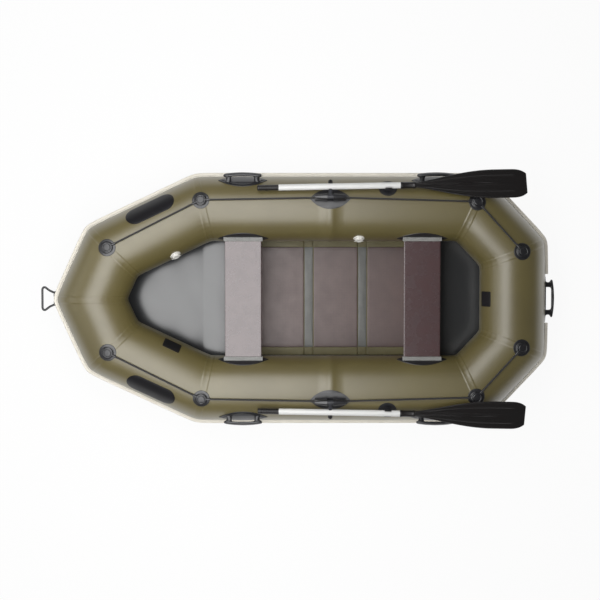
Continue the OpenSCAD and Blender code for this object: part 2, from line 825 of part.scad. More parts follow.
module rope_fixing(k) {
    a = fixing_angle[k];
    up = unit(over_corner(k, tube_r, a) - corner(k));
    $fn = 36;
    intersection() {
        facing(corner(k), up) translate([0, 0, tube_r - cap_h]) cylinder(d = fixing_d, h = 2 * cap_h);
        tube_corner(k, tube_r + patch_t);
    }
    facing(corner(k), up) {
        translate([0, 0, tube_r - cap_h]) cylinder(d = cap_d, h = cap_h * 1.5);
        translate([0, 0, tube_r + cap_h / 2]) cylinder(d1 = cap_d, d2 = cap_d * 0.6, h = cap_h / 2);
    }
}

module rope_fixings_port() {
    color(BLACK) one_mesh() for (k = fixings) difference() {
        rope_fixing(k);
        tube_corner(k, tube_r + glue_gap);
        rope(rope_d / 2 + 2 * rope_fit);
    }
}

module rope_fixings_starboard() { mirror([0, 1, 0]) rope_fixings_port(); }

// ---- small fittings ----

module valve() {
    difference() {
        union() {
            translate([0, 0, tube_r - 6]) cylinder(d = valve_d, h = 6 + patch_t);
            translate([0, 0, tube_r]) cylinder(d = valve_d * 0.72, h = valve_h * 0.7);
            translate([0, 0, tube_r + valve_h * 0.7])
                cylinder(d1 = valve_d * 0.72, d2 = valve_d * 0.6, h = valve_h * 0.3);
        }
        rod(tube_r, 2 * valve_d);
    }
}

module valve_fore() {
    color(WHITE) mirror([0, 1, 0]) on_tube(BOW, seg_l(BOW) - valve_fore_s, valve_fore_angle) valve();
}

module valve_aft() {
    color(WHITE) mirror([0, 1, 0]) on_tube(SIDE, knee_x - valve_aft_x, valve_aft_angle) valve();
}

module badges() {
    color(BLACK) both_sides() on_tube(BOW, seg_l(BOW) - badge_s, badge_angle)
        skin(plate_t, badge_l) oval(badge_l, badge_w);
}

module blank_plates() {
    color(BLACK) {
        on_tube(BOW, seg_l(BOW) - fore_plate_s, fore_plate_angle)
            skin(plate_t, fore_plate.x) square(fore_plate, center = true);
        on_tube(STERN, stern_half, stern_plate_angle)
            skin(plate_t, stern_plate.x) square(stern_plate, center = true);
    }
}

fore_chamber();
aft_chamber();
bottom_panel();
strake_port();
strake_starboard();
floor_mat();
floor_board_fore();
floor_board_mid();
floor_board_aft();
mat_strips();
seat_fore();
seat_aft();
seat_holders();
seat_patches();
rowlock_port();
rowlock_starboard();
oar_clip_port();
oar_clip_starboard();
oar_pin_port();
oar_nut_port();
oar_shaft_port();
oar_grip_port();
oar_ferrule_port();
oar_blade_port();
oar_pin_starboard();
oar_nut_starboard();
oar_shaft_starboard();
oar_grip_starboard();
oar_ferrule_starboard();
oar_blade_starboard();
handles_port();
handles_starboard();
stern_handle();
tow_bracket();
tow_pin();
tow_ring();
lifeline_port();
lifeline_starboard();
rope_fixings_port();
rope_fixings_starboard();
valve_fore();
valve_aft();
badges();
blank_plates();
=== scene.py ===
"""Looks of an inflatable rowing boat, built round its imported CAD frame.

The hull is a ring of coated-fabric tubes, mitred together, with a fabric bottom, a board floor,
two plank seats, rope lifelines, moulded fittings and two stowed oars. Lengths are in metres,
+X is the bow, +Y is port and +Z is up. Each new piece is a surface worked out on a grid of
points, and takes its place and size from the frame.
"""

from __future__ import annotations

import logging
import math
from dataclasses import dataclass, field
from enum import Enum
from typing import Any, Sequence

import bmesh
import bpy
import numpy as np
from mathutils import Matrix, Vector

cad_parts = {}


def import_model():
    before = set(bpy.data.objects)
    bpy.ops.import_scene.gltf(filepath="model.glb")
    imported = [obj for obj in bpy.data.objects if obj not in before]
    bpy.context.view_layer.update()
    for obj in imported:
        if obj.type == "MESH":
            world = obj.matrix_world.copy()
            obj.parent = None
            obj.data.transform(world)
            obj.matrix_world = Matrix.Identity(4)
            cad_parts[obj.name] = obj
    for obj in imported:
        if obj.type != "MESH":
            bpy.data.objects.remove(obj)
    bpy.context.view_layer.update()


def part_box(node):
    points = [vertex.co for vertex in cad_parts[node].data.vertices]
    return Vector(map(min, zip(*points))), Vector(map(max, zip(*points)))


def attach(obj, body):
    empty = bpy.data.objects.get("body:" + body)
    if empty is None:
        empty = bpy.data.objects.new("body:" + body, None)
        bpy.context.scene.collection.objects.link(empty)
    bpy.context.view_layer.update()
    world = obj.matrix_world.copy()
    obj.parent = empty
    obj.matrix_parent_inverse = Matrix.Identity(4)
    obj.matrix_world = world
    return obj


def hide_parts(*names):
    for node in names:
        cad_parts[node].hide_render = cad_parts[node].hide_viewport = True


LOG = logging.getLogger("rowing_boat")
MM = 0.001
HULL = "hull"
MERGE_DISTANCE = 2e-6
# The part of a noise texture's range that its middle tones fill.
CLOUD_RANGE = (0.3, 0.7)
UP = np.array([0.0, 0.0, 1.0])


class Side(Enum):
    """The two sides of the boat."""

    PORT = "port"
    STARBOARD = "starboard"

    @property
    def mirrored(self) -> bool:
        """Whether a shape worked out for port is turned over for this side."""
        return self is Side.STARBOARD


class Pattern(Enum):
    """The small relief that a finish carries."""

    WEAVE = "crossed threads"
    MESH = "pressed wire mesh"
    GRAIN = "moulded grain"
    DRAWN = "drawn lines"


class Map(Enum):
    """What a pattern is laid out on."""

    UV = "UV"
    OBJECT = "Object"


# ---- small sums ----


def unit(vector: Sequence[float] | np.ndarray) -> np.ndarray:
    """Returns the vector, or each row of an array, at length one."""
    array = np.asarray(vector, float)
    return array / np.linalg.norm(array, axis=-1, keepdims=True)


def turn_matrix(axis: int, degrees: float) -> np.ndarray:
    """Returns the matrix of a turn about an axis.

    Args:
        axis: 0, 1 or 2 for X, Y or Z.
        degrees: The angle, by the right hand.

    Returns:
        A 3 by 3 array for column vectors.
    """
    c, s = math.cos(math.radians(degrees)), math.sin(math.radians(degrees))
    matrix = np.eye(3)
    j, k = (axis + 1) % 3, (axis + 2) % 3
    matrix[j, j], matrix[j, k], matrix[k, j], matrix[k, k] = c, -s, s, c
    return matrix


def ease(x: np.ndarray) -> np.ndarray:
    """Returns 0 below 0, 1 above 1, and 3x^2 - 2x^3 between."""
    t = np.clip(x, 0.0, 1.0)
    return t * t * (3 - 2 * t)


def linear(sheet_hex: str) -> tuple[float, float, float, float]:
    """Turns an sRGB hex colour to linear light.

    Args:
        sheet_hex: Six hex digits.

    Returns:
        Red, green, blue and alpha.
    """
    parts = [int(sheet_hex[n : n + 2], 16) / 255 for n in (0, 2, 4)]
    light = [p / 12.92 if p <= 0.04045 else ((p + 0.055) / 1.055) ** 2.4 for p in parts]
    return (light[0], light[1], light[2], 1.0)


@dataclass(frozen=True)
class Place:
    """An origin and three axes, one in each row, that carry a small part into the boat."""

    origin: np.ndarray
    axes: np.ndarray = field(default_factory=lambda: np.eye(3))

    def put(self, points: np.ndarray) -> np.ndarray:
        """Returns points of the part in the boat: origin + x X + y Y + z Z."""
        return self.origin + points @ self.axes

    def moved(self, x: float = 0.0, y: float = 0.0, z: float = 0.0) -> "Place":
        """Returns the place moved along its own axes."""
        return Place(self.put(np.array([x, y, z])), self.axes)

    def turned(self, axis: int, degrees: float) -> "Place":
        """Returns the place turned about one of its own axes."""
        return Place(self.origin, turn_matrix(axis, degrees).T @ self.axes)


# ---- outlines and surfaces ----


def round_rect(length: float, width: float, corner: float, steps: int = 7) -> np.ndarray:
    """Returns a rectangle with rounded corners: a quarter circle round each corner's centre.

    Args:
        length: Size along x.
        width: Size along y.
        corner: Radius of the corners.
        steps: Points in each corner.

    Returns:
        Points in a row, anticlockwise.
    """
    angle = np.linspace(0, math.pi / 2, steps)[None] + np.arange(4)[:, None] * math.pi / 2
    centre = np.array([[1, 1], [-1, 1], [-1, -1], [1, -1]]) * [
        length / 2 - corner,
        width / 2 - corner,
    ]
    arc = np.stack([np.cos(angle), np.sin(angle)], -1) * corner
    return (centre[:, None] + arc).reshape(-1, 2)


def lens(length: float, width: float, count: int = 40) -> np.ndarray:
    """Returns a lens: two arcs of radius b = (l^2 + w^2) / 4w that meet in points.

    Args:
        length: Size along x.
        width: Size along y.
        count: Points in each arc.

    Returns:
        Points in a row, anticlockwise.
    """
    bulge = (length**2 + width**2) / (4 * width)
    x = length / 2 * np.cos(np.linspace(0, math.pi, count, endpoint=False))
    y = np.sqrt(bulge**2 - x**2) - bulge + width / 2
    return np.concatenate([np.stack([x, y], -1), np.stack([-x, -y], -1)])


def ellipse(length: float, width: float, count: int = 64) -> np.ndarray:
    """Returns an ellipse: (l/2 cos a, w/2 sin a)."""
    angle = np.linspace(0, 2 * math.pi, count, endpoint=False)
    return np.stack([length / 2 * np.cos(angle), width / 2 * np.sin(angle)], -1)


def oval(length: float, width: float, count: int = 24) -> np.ndarray:
    """Returns a rectangle with half-round ends."""
    return round_rect(length, width, width / 2 - 1e-4, count)


def circle(count: int) -> np.ndarray:
    """Returns a circle of radius one."""
    return ellipse(2.0, 2.0, count)


def distances(line: np.ndarray) -> np.ndarray:
    """Returns how far along a line each of its points is."""
    return np.concatenate([[0], np.cumsum(np.linalg.norm(np.diff(line, axis=0), axis=1))])


def placed_along(line: np.ndarray, at: np.ndarray) -> np.ndarray:
    """Returns the points of a line at these distances along it."""
    run = distances(line)
    return np.stack([np.interp(at, run, line[:, n]) for n in range(line.shape[1])], -1)


def smoothed(points: np.ndarray, window: int) -> np.ndarray:
    """Returns a line's points averaged over a raised cosine, with its ends held.

    Args:
        points: Evenly spaced points.
        window: How many points the average takes in; an odd number.

    Returns:
        As many points.
    """
    weights = np.hanning(window)
    weights /= weights.sum()
    reach = window // 2
    held = [np.repeat(points[:1], reach, 0), points, np.repeat(points[-1:], reach, 0)]
    padded = np.concatenate(held)
    columns = [np.convolve(padded[:, n], weights, "valid") for n in range(points.shape[1])]
    return np.stack(columns, -1)


def spread(outline: np.ndarray, count: int) -> np.ndarray:
    """Returns a closed outline with its points evenly spaced along it."""
    closed = np.vstack([outline, outline[:1]])
    return placed_along(closed, np.linspace(0, distances(closed)[-1], count, endpoint=False))


def slab(
    outline: np.ndarray,
    low: float,
    high: float,
    edge: float,
    low_edge: float = 0.0,
    crown: float = 0.0,
) -> np.ndarray:
    """Makes a closed slab over an outline, with round upper and lower edges.

    Each ring of the grid is the outline moved inwards by an inset, then drawn in towards its
    middle. Along an edge of radius e the inset is e (1 - cos t) and the height rises e sin t.
    The flat faces are rings at shares 1 to 0 of the outline, and the crown adds
    crown (1 - share^2).

    Args:
        outline: The outline, anticlockwise.
        low: Height of the lower face.
        high: Height of the upper face.
        edge: Radius of the upper edge.
        low_edge: Radius of the lower edge.
        crown: Rise of the upper face's middle.

    Returns:
        Points, rings by outline points by 3.
    """
    arc = np.linspace(0, math.pi / 2, 5)
    shares = np.array([0.03, 0.25, 0.5, 0.75, 0.93])
    inset = np.concatenate(
        [
            np.full(5, low_edge),
            low_edge * (1 - np.cos(arc[::-1])),
            edge * (1 - np.cos(arc)),
            np.full(5, edge),
        ]
    )
    height = np.concatenate(
        [
            np.full(5, low),
            low + low_edge * (1 - np.sin(arc[::-1])),
            high - edge * (1 - np.sin(arc)),
            np.full(5, high) + crown * (1 - shares[::-1] ** 2),
        ]
    )
    share = np.concatenate([shares, np.ones(10), shares[::-1]])
    along = np.roll(outline, -1, 0) - np.roll(outline, 1, 0)
    normal = unit(np.stack([along[:, 1], -along[:, 0]], -1))
    flat = outline[None] - inset[:, None, None] * normal[None]
    middle = outline.mean(0)
    flat = middle + (flat - middle) * share[:, None, None]
    return np.concatenate([flat, np.broadcast_to(height[:, None, None], flat.shape[:2] + (1,))], -1)


def hug(points: np.ndarray, radius: float) -> np.ndarray:
    """Bends a flat part onto a tube that runs along x: y keeps its place across the tube.

    A point at height z goes to radius + z from the tube's middle line, at angle asin(y / radius).
    """
    share = np.clip(points[..., 1] / radius, -1, 1)
    out = radius + points[..., 2]
    return np.stack([points[..., 0], out * share, out * np.sqrt(1 - share**2)], -1)


def turned_part(profile: Sequence[tuple[float, float]], sides: int = 48) -> np.ndarray:
    """Turns a profile about z: a point (r, h) becomes the circle (r cos a, r sin a, h).

    Args:
        profile: Radius and height of each ring.
        sides: Points in a ring.

    Returns:
        Points, rings by sides by 3.
    """
    radius, height = np.array(profile, float).T
    angle = np.linspace(0, 2 * math.pi, sides, endpoint=False)
    x = radius[:, None] * np.cos(angle)
    y = radius[:, None] * np.sin(angle)
    return np.stack([x, y, np.broadcast_to(height[:, None], x.shape)], -1)


def carried(path: np.ndarray, section: np.ndarray, side: np.ndarray) -> np.ndarray:
    """Carries a section along a path.

    At each point of the path the section's first number runs along the side direction made
    square to the path, and its second along the cross product of path and side.

    Args:
        path: Points of the path.
        section: Points in a ring, the same for all the path or one ring for each point.
        side: A direction across the path.

    Returns:
        Points, path by section by 3.
    """
    along = unit(np.gradient(path, axis=0))
    across = unit(side - (along @ side)[:, None] * along)
    third = np.cross(along, across)
    rings = np.broadcast_to(section, (len(path),) + section.shape[-2:])
    return path[:, None] + rings[..., :1] * across[:, None] + rings[..., 1:] * third[:, None]


@dataclass(frozen=True)
class Shell:
    """One surface of a piece: a grid of points, closed round its second side."""

    points: np.ndarray
    start_closed: bool = True
    end_closed: bool = True

    def mirrored(self) -> "Shell":
        """Returns the shell turned over from port to starboard."""
        return Shell(self.points * np.array([1, -1, 1]), self.start_closed, self.end_closed)

    def faces(self, first: int) -> tuple[list[list[int]], np.ndarray]:
        """Lists the shell's faces and their places on the flattened skin.

        Args:
            first: Number of the shell's first point in its mesh.

        Returns:
            The faces, and one row of UV in metres for each of their corners.
        """
        rows, columns = self.points.shape[:2]
        index = np.arange(rows * columns).reshape(rows, columns) + first
        near, far = index, np.roll(index, -1, axis=1)
        quads = np.stack([near[:-1], far[:-1], far[1:], near[1:]], -1).reshape(-1, 4)
        ring = np.concatenate([self.points, self.points[:, :1]], 1)
        along = np.linalg.norm(np.diff(self.points, axis=0), axis=2).mean(1)
        round_it = np.linalg.norm(np.diff(ring, axis=1), axis=2).mean(0)
        u = np.concatenate([[0], np.cumsum(along)])
        v = np.concatenate([[0], np.cumsum(round_it)])
        uu, vv = np.meshgrid(u, v, indexing="ij")
        flat = np.stack([uu, vv], -1)
        corners = np.stack([flat[:-1, :-1], flat[:-1, 1:], flat[1:, 1:], flat[1:, :-1]], 2)
        faces = quads.tolist()
        uv = [corners.reshape(-1, 2)]
        for closed, row in ((self.start_closed, 0), (self.end_closed, -1)):
            if closed:
                faces.append(index[row].tolist())
                uv.append(flat[row, :-1])
        return faces, np.concatenate(uv)


def both_sides(port: Sequence[Shell]) -> list[Shell]:
    """Returns the port shells and their likenesses to starboard."""
    return [*port, *(shell.mirrored() for shell in port)]


def make_piece(
    name: str,
    shells: Sequence[Shell],
    body: str = HULL,
    replaces: Sequence[str] = (),
    mirrored: bool = False,
    sharp: float = 38.0,
) -> bpy.types.Object:
    """Makes one object of the boat from its shells.

    Args:
        name: The piece's name.
        shells: Its surfaces.
        body: The CAD body that it moves with.
        replaces: The CAD nodes that it stands for.
        mirrored: Whether the shells are turned over to starboard.
        sharp: Edges bent by more degrees than this stay crisp.

    Returns:
        The new object, at the origin.
    """
    shells = [s.mirrored() for s in shells] if mirrored else list(shells)
    faces: list[list[int]] = []
    uv: list[np.ndarray] = []
    first = 0
    for shell in shells:
        made, flat = shell.faces(first)
        faces += made
        uv.append(flat)
        first += shell.points.shape[0] * shell.points.shape[1]
    points = np.concatenate([s.points.reshape(-1, 3) for s in shells])
    mesh = bpy.data.meshes.new(name)
    mesh.from_pydata(points.tolist(), [], faces)
    layer = mesh.uv_layers.new(name="skin_m")
    layer.data.foreach_set("uv", np.concatenate(uv).astype(np.float32).ravel())
    close_up(mesh, sharp)
    return settle(bpy.data.objects.new(name, mesh), body, replaces)


def side_piece(
    side: Side,
    name: str,
    shells: Sequence[Shell],
    node: str,
    body: str = HULL,
    sharp: float = 38.0,
) -> bpy.types.Object:
    """Makes one object of one side, from shells worked out for port.

    Args:
        side: The side.
        name: The piece's name, without its side.
        shells: Its surfaces.
        node: The CAD node that it stands for, without its side.
        body: The CAD body that it moves with.
        sharp: Edges bent by more degrees than this stay crisp.

    Returns:
        The new object.
    """
    tag = side.value
    return make_piece(f"{name}_{tag}", shells, body, [f"{node}_{tag}"], side.mirrored, sharp)


def close_up(mesh: bpy.types.Mesh, sharp: float) -> None:
    """Merges seams and poles, points the faces outwards and smooths all but sharp edges.

    Args:
        mesh: The mesh to finish.
        sharp: Edges bent by more degrees than this stay crisp.
    """
    work = bmesh.new()
    work.from_mesh(mesh)
    bmesh.ops.remove_doubles(work, verts=work.verts, dist=MERGE_DISTANCE)
    bmesh.ops.dissolve_degenerate(work, edges=work.edges, dist=MERGE_DISTANCE)
    bmesh.ops.recalc_face_normals(work, faces=work.faces)
    work.to_mesh(mesh)
    work.free()
    mesh.shade_smooth()
    mesh.set_sharp_from_angle(angle=math.radians(sharp))


def settle(made: bpy.types.Object, body: str, replaces: Sequence[str]) -> bpy.types.Object:
    """Puts a piece into the scene, on its body, and reports how it fits what it stands for.

    Args:
        made: The new object.
        body: The CAD body that it moves with.
        replaces: The CAD nodes that it stands for.

    Returns:
        The object.
    """
    bpy.context.scene.collection.objects.link(made)
    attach(made, body)
    if replaces:
        boxes = [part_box(node) for node in replaces]
        low = np.min([list(b[0]) for b in boxes], axis=0)
        high = np.max([list(b[1]) for b in boxes], axis=0)
        own = np.array([v.co for v in made.data.vertices])
        off = np.concatenate([own.min(0) - low, own.max(0) - high]) / MM
        LOG.info("%s: box differs by %s mm", made.name, np.round(off, 1).tolist())
        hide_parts(*replaces)
    else:
        LOG.info("%s: added", made.name)
    return made


def softened(
    name: str, node: str, body: str = HULL, width: float = 1.0 * MM, sharp: float = 34.0
) -> bpy.types.Object:
    """Copies a CAD node as a new piece with its edges rounded, as moulding leaves them.

    Args:
        name: The new piece's name.
        node: The CAD node to copy and stand for.
        body: The CAD body that it moves with.
        width: Width of the rounded edges.
        sharp: Edges bent by more degrees than this are rounded.

    Returns:
        The new object.
    """
    source = bpy.data.objects[node].data
    mesh = bpy.data.meshes.new(name)
    work = bmesh.new()
    work.from_mesh(source)
    bmesh.ops.remove_doubles(work, verts=work.verts, dist=5e-6)
    bmesh.ops.dissolve_limit(
        work, angle_limit=math.radians(0.6), verts=work.verts, edges=work.edges
    )
    work.to_mesh(mesh)
    work.free()
    mesh.shade_smooth()
    mesh.set_sharp_from_angle(angle=math.radians(sharp))
    made = bpy.data.objects.new(name, mesh)
    bevel = made.modifiers.new("rounded edges", "BEVEL")
    bevel.width = width
    bevel.segments = 2
    bevel.limit_method = "ANGLE"
    bevel.angle_limit = math.radians(sharp)
    bevel.use_clamp_overlap = True
    return settle(made, body, [node])


# ---- finishes ----


def add_node(
    tree: bpy.types.NodeTree, kind: str, sockets: dict[Any, Any] | None = None, **settings: Any
) -> bpy.types.Node:
    """Adds one node to a material.

    Args:
        tree: The material's node tree.
        kind: The node's type.
        sockets: Values of its inputs by name or number; another node's output is linked.
        **settings: The node's own settings.

    Returns:
        The node.
    """
    made = tree.nodes.new(kind)
    for key, value in settings.items():
        setattr(made, key, value)
    for key, value in (sockets or {}).items():
        if isinstance(value, bpy.types.NodeSocket):
            tree.links.new(value, made.inputs[key])
        else:
            made.inputs[key].default_value = value
    return made


def signal(
    tree: bpy.types.NodeTree, kind: str, sockets: dict[Any, Any] | None = None, **settings: Any
) -> bpy.types.NodeSocket:
    """Adds one node, as add_node does, and returns its first output."""
    return add_node(tree, kind, sockets, **settings).outputs[0]


def ranged(
    tree: bpy.types.NodeTree,
    value: bpy.types.NodeSocket,
    to: tuple[float, float],
    start: tuple[float, float] = (0.0, 1.0),
) -> bpy.types.NodeSocket:
    """Adds a node that carries a value from one range to another.

    Args:
        tree: The node tree.
        value: The value.
        to: The range that it comes to.
        start: The range that it comes from.

    Returns:
        The node's output.
    """
    sockets = {"From Min": start[0], "From Max": start[1], "To Min": to[0], "To Max": to[1]}
    return signal(tree, "ShaderNodeMapRange", {"Value": value, **sockets})


def wave_scale(pitch: float) -> float:
    """Returns the Wave Texture scale at which one band takes up the pitch, in metres."""
    return math.pi / (10 * pitch)


@dataclass(frozen=True)
class Finish:
    """A real finish: its colours, gloss, relief and the scale of each in millimetres."""

    name: str
    slot: str
    colour: str
    shade: str
    shade_mm: float
    rough: float
    rough_spread: float
    pattern: Pattern
    pitch_mm: float
    relief_mm: float
    laid_on: Map = Map.OBJECT
    metallic: float = 0.0
    specular: float = 0.5
    coat: float = 0.0
    coat_rough: float = 0.2
    sheen: float = 0.0
    # Share by which the colour is darkened in the relief's hollows: painted shade, not a colour of
    # the material.
    lines: float = 0.0

    def material(self) -> bpy.types.Material:
        """Makes the material, or returns it if it is made already.

        Returns:
            The material.
        """
        found = bpy.data.materials.get(self.name)
        if found:
            return found
        made = bpy.data.materials.new(self.name)
        made.use_nodes = True
        tree = made.node_tree
        tree.nodes.clear()
        where = add_node(tree, "ShaderNodeTexCoord").outputs[self.laid_on.value]
        around = add_node(tree, "ShaderNodeTexCoord").outputs["Object"]
        relief = self._relief(tree, where)
        patches = signal(
            tree, "ShaderNodeTexNoise",
            {"Vector": around, "Scale": 1000 / self.shade_mm, "Detail": 4.0, "Roughness": 0.6},
        )
        tone = ranged(tree, patches, (0.0, 1.0), CLOUD_RANGE)
        mixed = add_node(
            tree, "ShaderNodeMix",
            {0: tone, 6: linear(self.colour), 7: linear(self.shade)}, data_type="RGBA",
        ).outputs[2]
        # Painted shade: the colour darkens where the relief is low, as if its hollows were shaded.
        if self.lines:
            hollow_painted_shade = ranged(tree, relief, (1.0 - self.lines, 1.0))
            mixed = add_node(
                tree, "ShaderNodeMix", {0: 1.0, 6: mixed, 7: hollow_painted_shade},
                data_type="RGBA", blend_type="MULTIPLY",
            ).outputs[2]
        gloss = ranged(
            tree, patches, (self.rough - self.rough_spread, self.rough + self.rough_spread),
            CLOUD_RANGE,
        )
        bump = signal(
            tree, "ShaderNodeBump",
            {"Height": relief, "Distance": self.relief_mm * MM, "Strength": 1.0},
        )
        shader = add_node(
            tree,
            "ShaderNodeBsdfPrincipled",
            {
                "Base Color": mixed,
                "Roughness": gloss,
                "Normal": bump,
                "Metallic": self.metallic,
                "Specular IOR Level": self.specular,
                "Coat Weight": self.coat,
                "Coat Roughness": self.coat_rough,
                "Sheen Weight": self.sheen,
            },
        )
        add_node(tree, "ShaderNodeOutputMaterial", {"Surface": shader.outputs[0]})
        return made

    def _relief(
        self, tree: bpy.types.NodeTree, where: bpy.types.NodeSocket
    ) -> bpy.types.NodeSocket:
        """Adds the nodes of the relief.

        Args:
            tree: The material's node tree.
            where: The coordinates that the relief is laid out on, in metres.

        Returns:
            The height, from 0 to 1.
        """
        pitch = self.pitch_mm * MM
        if self.pattern is Pattern.GRAIN:
            return signal(
                tree, "ShaderNodeTexNoise",
                {"Vector": where, "Scale": 1 / pitch, "Detail": 3.0, "Roughness": 0.55},
            )
        if self.pattern is Pattern.DRAWN:
            stretched = signal(
                tree, "ShaderNodeMapping",
                {"Vector": where, "Scale": (0.04 / pitch, 1 / pitch, 1 / pitch)},
            )
            sockets = {"Vector": stretched, "Scale": 1.0, "Detail": 2.0}
            return signal(tree, "ShaderNodeTexNoise", sockets)
        bands = [
            add_node(
                tree,
                "ShaderNodeTexWave",
                {"Vector": where, "Scale": wave_scale(pitch), "Distortion": 0.0},
                wave_type="BANDS",
                bands_direction=direction,
            ).outputs[1]
            for direction in ("X", "Y")
        ]
        operation = "MAXIMUM" if self.pattern is Pattern.MESH else "MULTIPLY"
        return signal(tree, "ShaderNodeMath", {0: bands[0], 1: bands[1]}, operation=operation)

    def dress(self, *objects: bpy.types.Object) -> None:
        """Gives the finish and its slot to pieces or to shown CAD nodes."""
        for each in objects:
            if each.material_slots:
                for held in each.material_slots:
                    held.material = self.material()
            else:
                each.data.materials.append(self.material())


# PVC-coated polyester boat fabric, satin: broad soft highlights and a faint thread relief,
# drawn at 4 mm because the real 1 mm threads are too fine to show.
OLIVE_PVC = Finish(
    "olive satin PVC coated fabric", "pvc_olive", "6A6036", "625831", 320.0,
    0.42, 0.03, Pattern.WEAVE, 4.0, 0.03, Map.UV, specular=0.95, coat=0.9, coat_rough=0.38,
)
# Extruded soft PVC section: creamy, slightly waxy.
IVORY_PVC = Finish(
    "ivory extruded soft PVC", "strake_ivory", "F3EEE2", "ECE6D8", 90.0,
    0.42, 0.04, Pattern.GRAIN, 3.0, 0.05,
)
# Dark calendered PVC fabric of the bottom, glossy enough to carry the light above it.
SLATE_PVC = Finish(
    "slate glossy PVC coated fabric", "bottom_grey", "1B1E21", "16191C", 240.0,
    0.32, 0.03, Pattern.WEAVE, 5.0, 0.03, specular=1.0, coat=1.0, coat_rough=0.24,
)
# The floor mat's own coated fabric.
MAT_PVC = Finish(
    "olive PVC floor mat fabric", "mat_olive", "6B6443", "605938", 90.0,
    0.46, 0.04, Pattern.WEAVE, 4.0, 0.05,
)
# Phenol film on birch plywood with a wire-mesh pressing; the 1.5 mm mesh is drawn at 9 mm.
# The mesh's hollows are painted up to 16 % darker as shade.
FLOOR_PLY = Finish(
    "brown film faced plywood wire mesh pressed", "floor_ply", "5C4743", "523E3B", 70.0,
    0.42, 0.04, Pattern.MESH, 9.0, 0.12, specular=0.9, lines=0.16,
)
# Phenol film on plywood for the seats: finer mesh, a little darker and glossier.
# The mesh's hollows are painted up to 8 % darker as shade.
SEAT_PLY = Finish(
    "brown film faced plywood smooth", "seat_ply", "50393A", "473234", 60.0,
    0.27, 0.04, Pattern.MESH, 7.0, 0.05, specular=1.0, coat=1.0, coat_rough=0.2, lines=0.08,
)
# Grey coated fabric of the hinges between the boards.
STRIP_PVC = Finish(
    "grey PVC hinge fabric", "strip_grey", "62625F", "575855", 50.0,
    0.36, 0.04, Pattern.WEAVE, 4.0, 0.04, specular=0.6,
)
# Light grey extruded PVC of the seat holders.
HOLDER_PVC = Finish(
    "light grey extruded PVC", "holder_grey", "868683", "7B7B78", 40.0,
    0.38, 0.04, Pattern.GRAIN, 2.0, 0.05,
)
# Moulded glass-filled nylon and soft PVC fittings: dark, with a spark-eroded grain.
MOULDED = Finish(
    "black moulded nylon fine grain", "moulded_black", "222226", "1B1B1E", 60.0,
    0.34, 0.05, Pattern.GRAIN, 2.5, 0.08, specular=1.0,
)
# Grey nylon of the rowlock pins.
PIN_NYLON = Finish(
    "dark grey moulded nylon", "pin_grey", "3A3B40", "323338", 40.0,
    0.36, 0.04, Pattern.GRAIN, 2.0, 0.06,
)
# Glass-filled polypropylene blades and grips: low gloss with streaks from the mould's flow.
OAR_BLACK = Finish(
    "black glass filled polypropylene", "oar_black", "1E1B1B", "171515", 120.0,
    0.36, 0.05, Pattern.GRAIN, 3.0, 0.10, specular=0.6,
)
# White powder coat on drawn aluminium tube.
SHAFT_WHITE = Finish(
    "white powder coated aluminium tube", "shaft_white", "E4E4E2", "DCDCDA", 120.0,
    0.30, 0.03, Pattern.GRAIN, 1.6, 0.03, coat=0.2,
)
# Drawn steel pin, zinc plated.
STEEL = Finish(
    "zinc plated steel pin", "pin_steel", "A9ABAD", "989A9C", 30.0,
    0.30, 0.05, Pattern.DRAWN, 1.0, 0.02, metallic=1.0,
)
# Braided polypropylene rope: dull, with a slight fibre sheen; its strands are in the mesh.
ROPE = Finish(
    "black braided polypropylene rope", "rope_black", "211F20", "302E2D", 9.0,
    0.62, 0.06, Pattern.WEAVE, 2.5, 0.10, Map.UV, sheen=0.25,
)
# Moulded white nylon of the valves.
VALVE_WHITE = Finish(
    "white moulded nylon", "valve_white", "E4E2DC", "D8D6CF", 20.0,
    0.32, 0.04, Pattern.GRAIN, 2.0, 0.04,
)
# Satin black vinyl badges, left bare.
BADGE = Finish(
    "satin black vinyl", "badge_black", "17161A", "121114", 80.0,
    0.40, 0.04, Pattern.GRAIN, 3.0, 0.03,
)
# Satin black printed film plates, left bare.
PLATE = Finish(
    "satin black film plate", "plate_black", "1B1A1D", "151416", 60.0,
    0.44, 0.04, Pattern.GRAIN, 3.0, 0.03,
)


# ---- the ring's line ----


@dataclass(frozen=True)
class Stop:
    """A place on the ring's middle line where a section is carried to."""

    place: np.ndarray
    into: np.ndarray
    out_of: np.ndarray
    side: np.ndarray
    up: np.ndarray
    bend: bool = True

    def carry(self, profile: np.ndarray) -> np.ndarray:
        """Carries profile points along the tube to the cut, which halves the bend.

        A point q = out side + up up goes to place + q - d (q.m) / (d.m), where d is the way
        out and m the sum of both ways.
        """
        cut = unit(self.into + self.out_of)
        q = profile[:, :1] * self.side + profile[:, 1:] * self.up
        return self.place + q - ((q @ cut) / (self.out_of @ cut))[:, None] * self.out_of


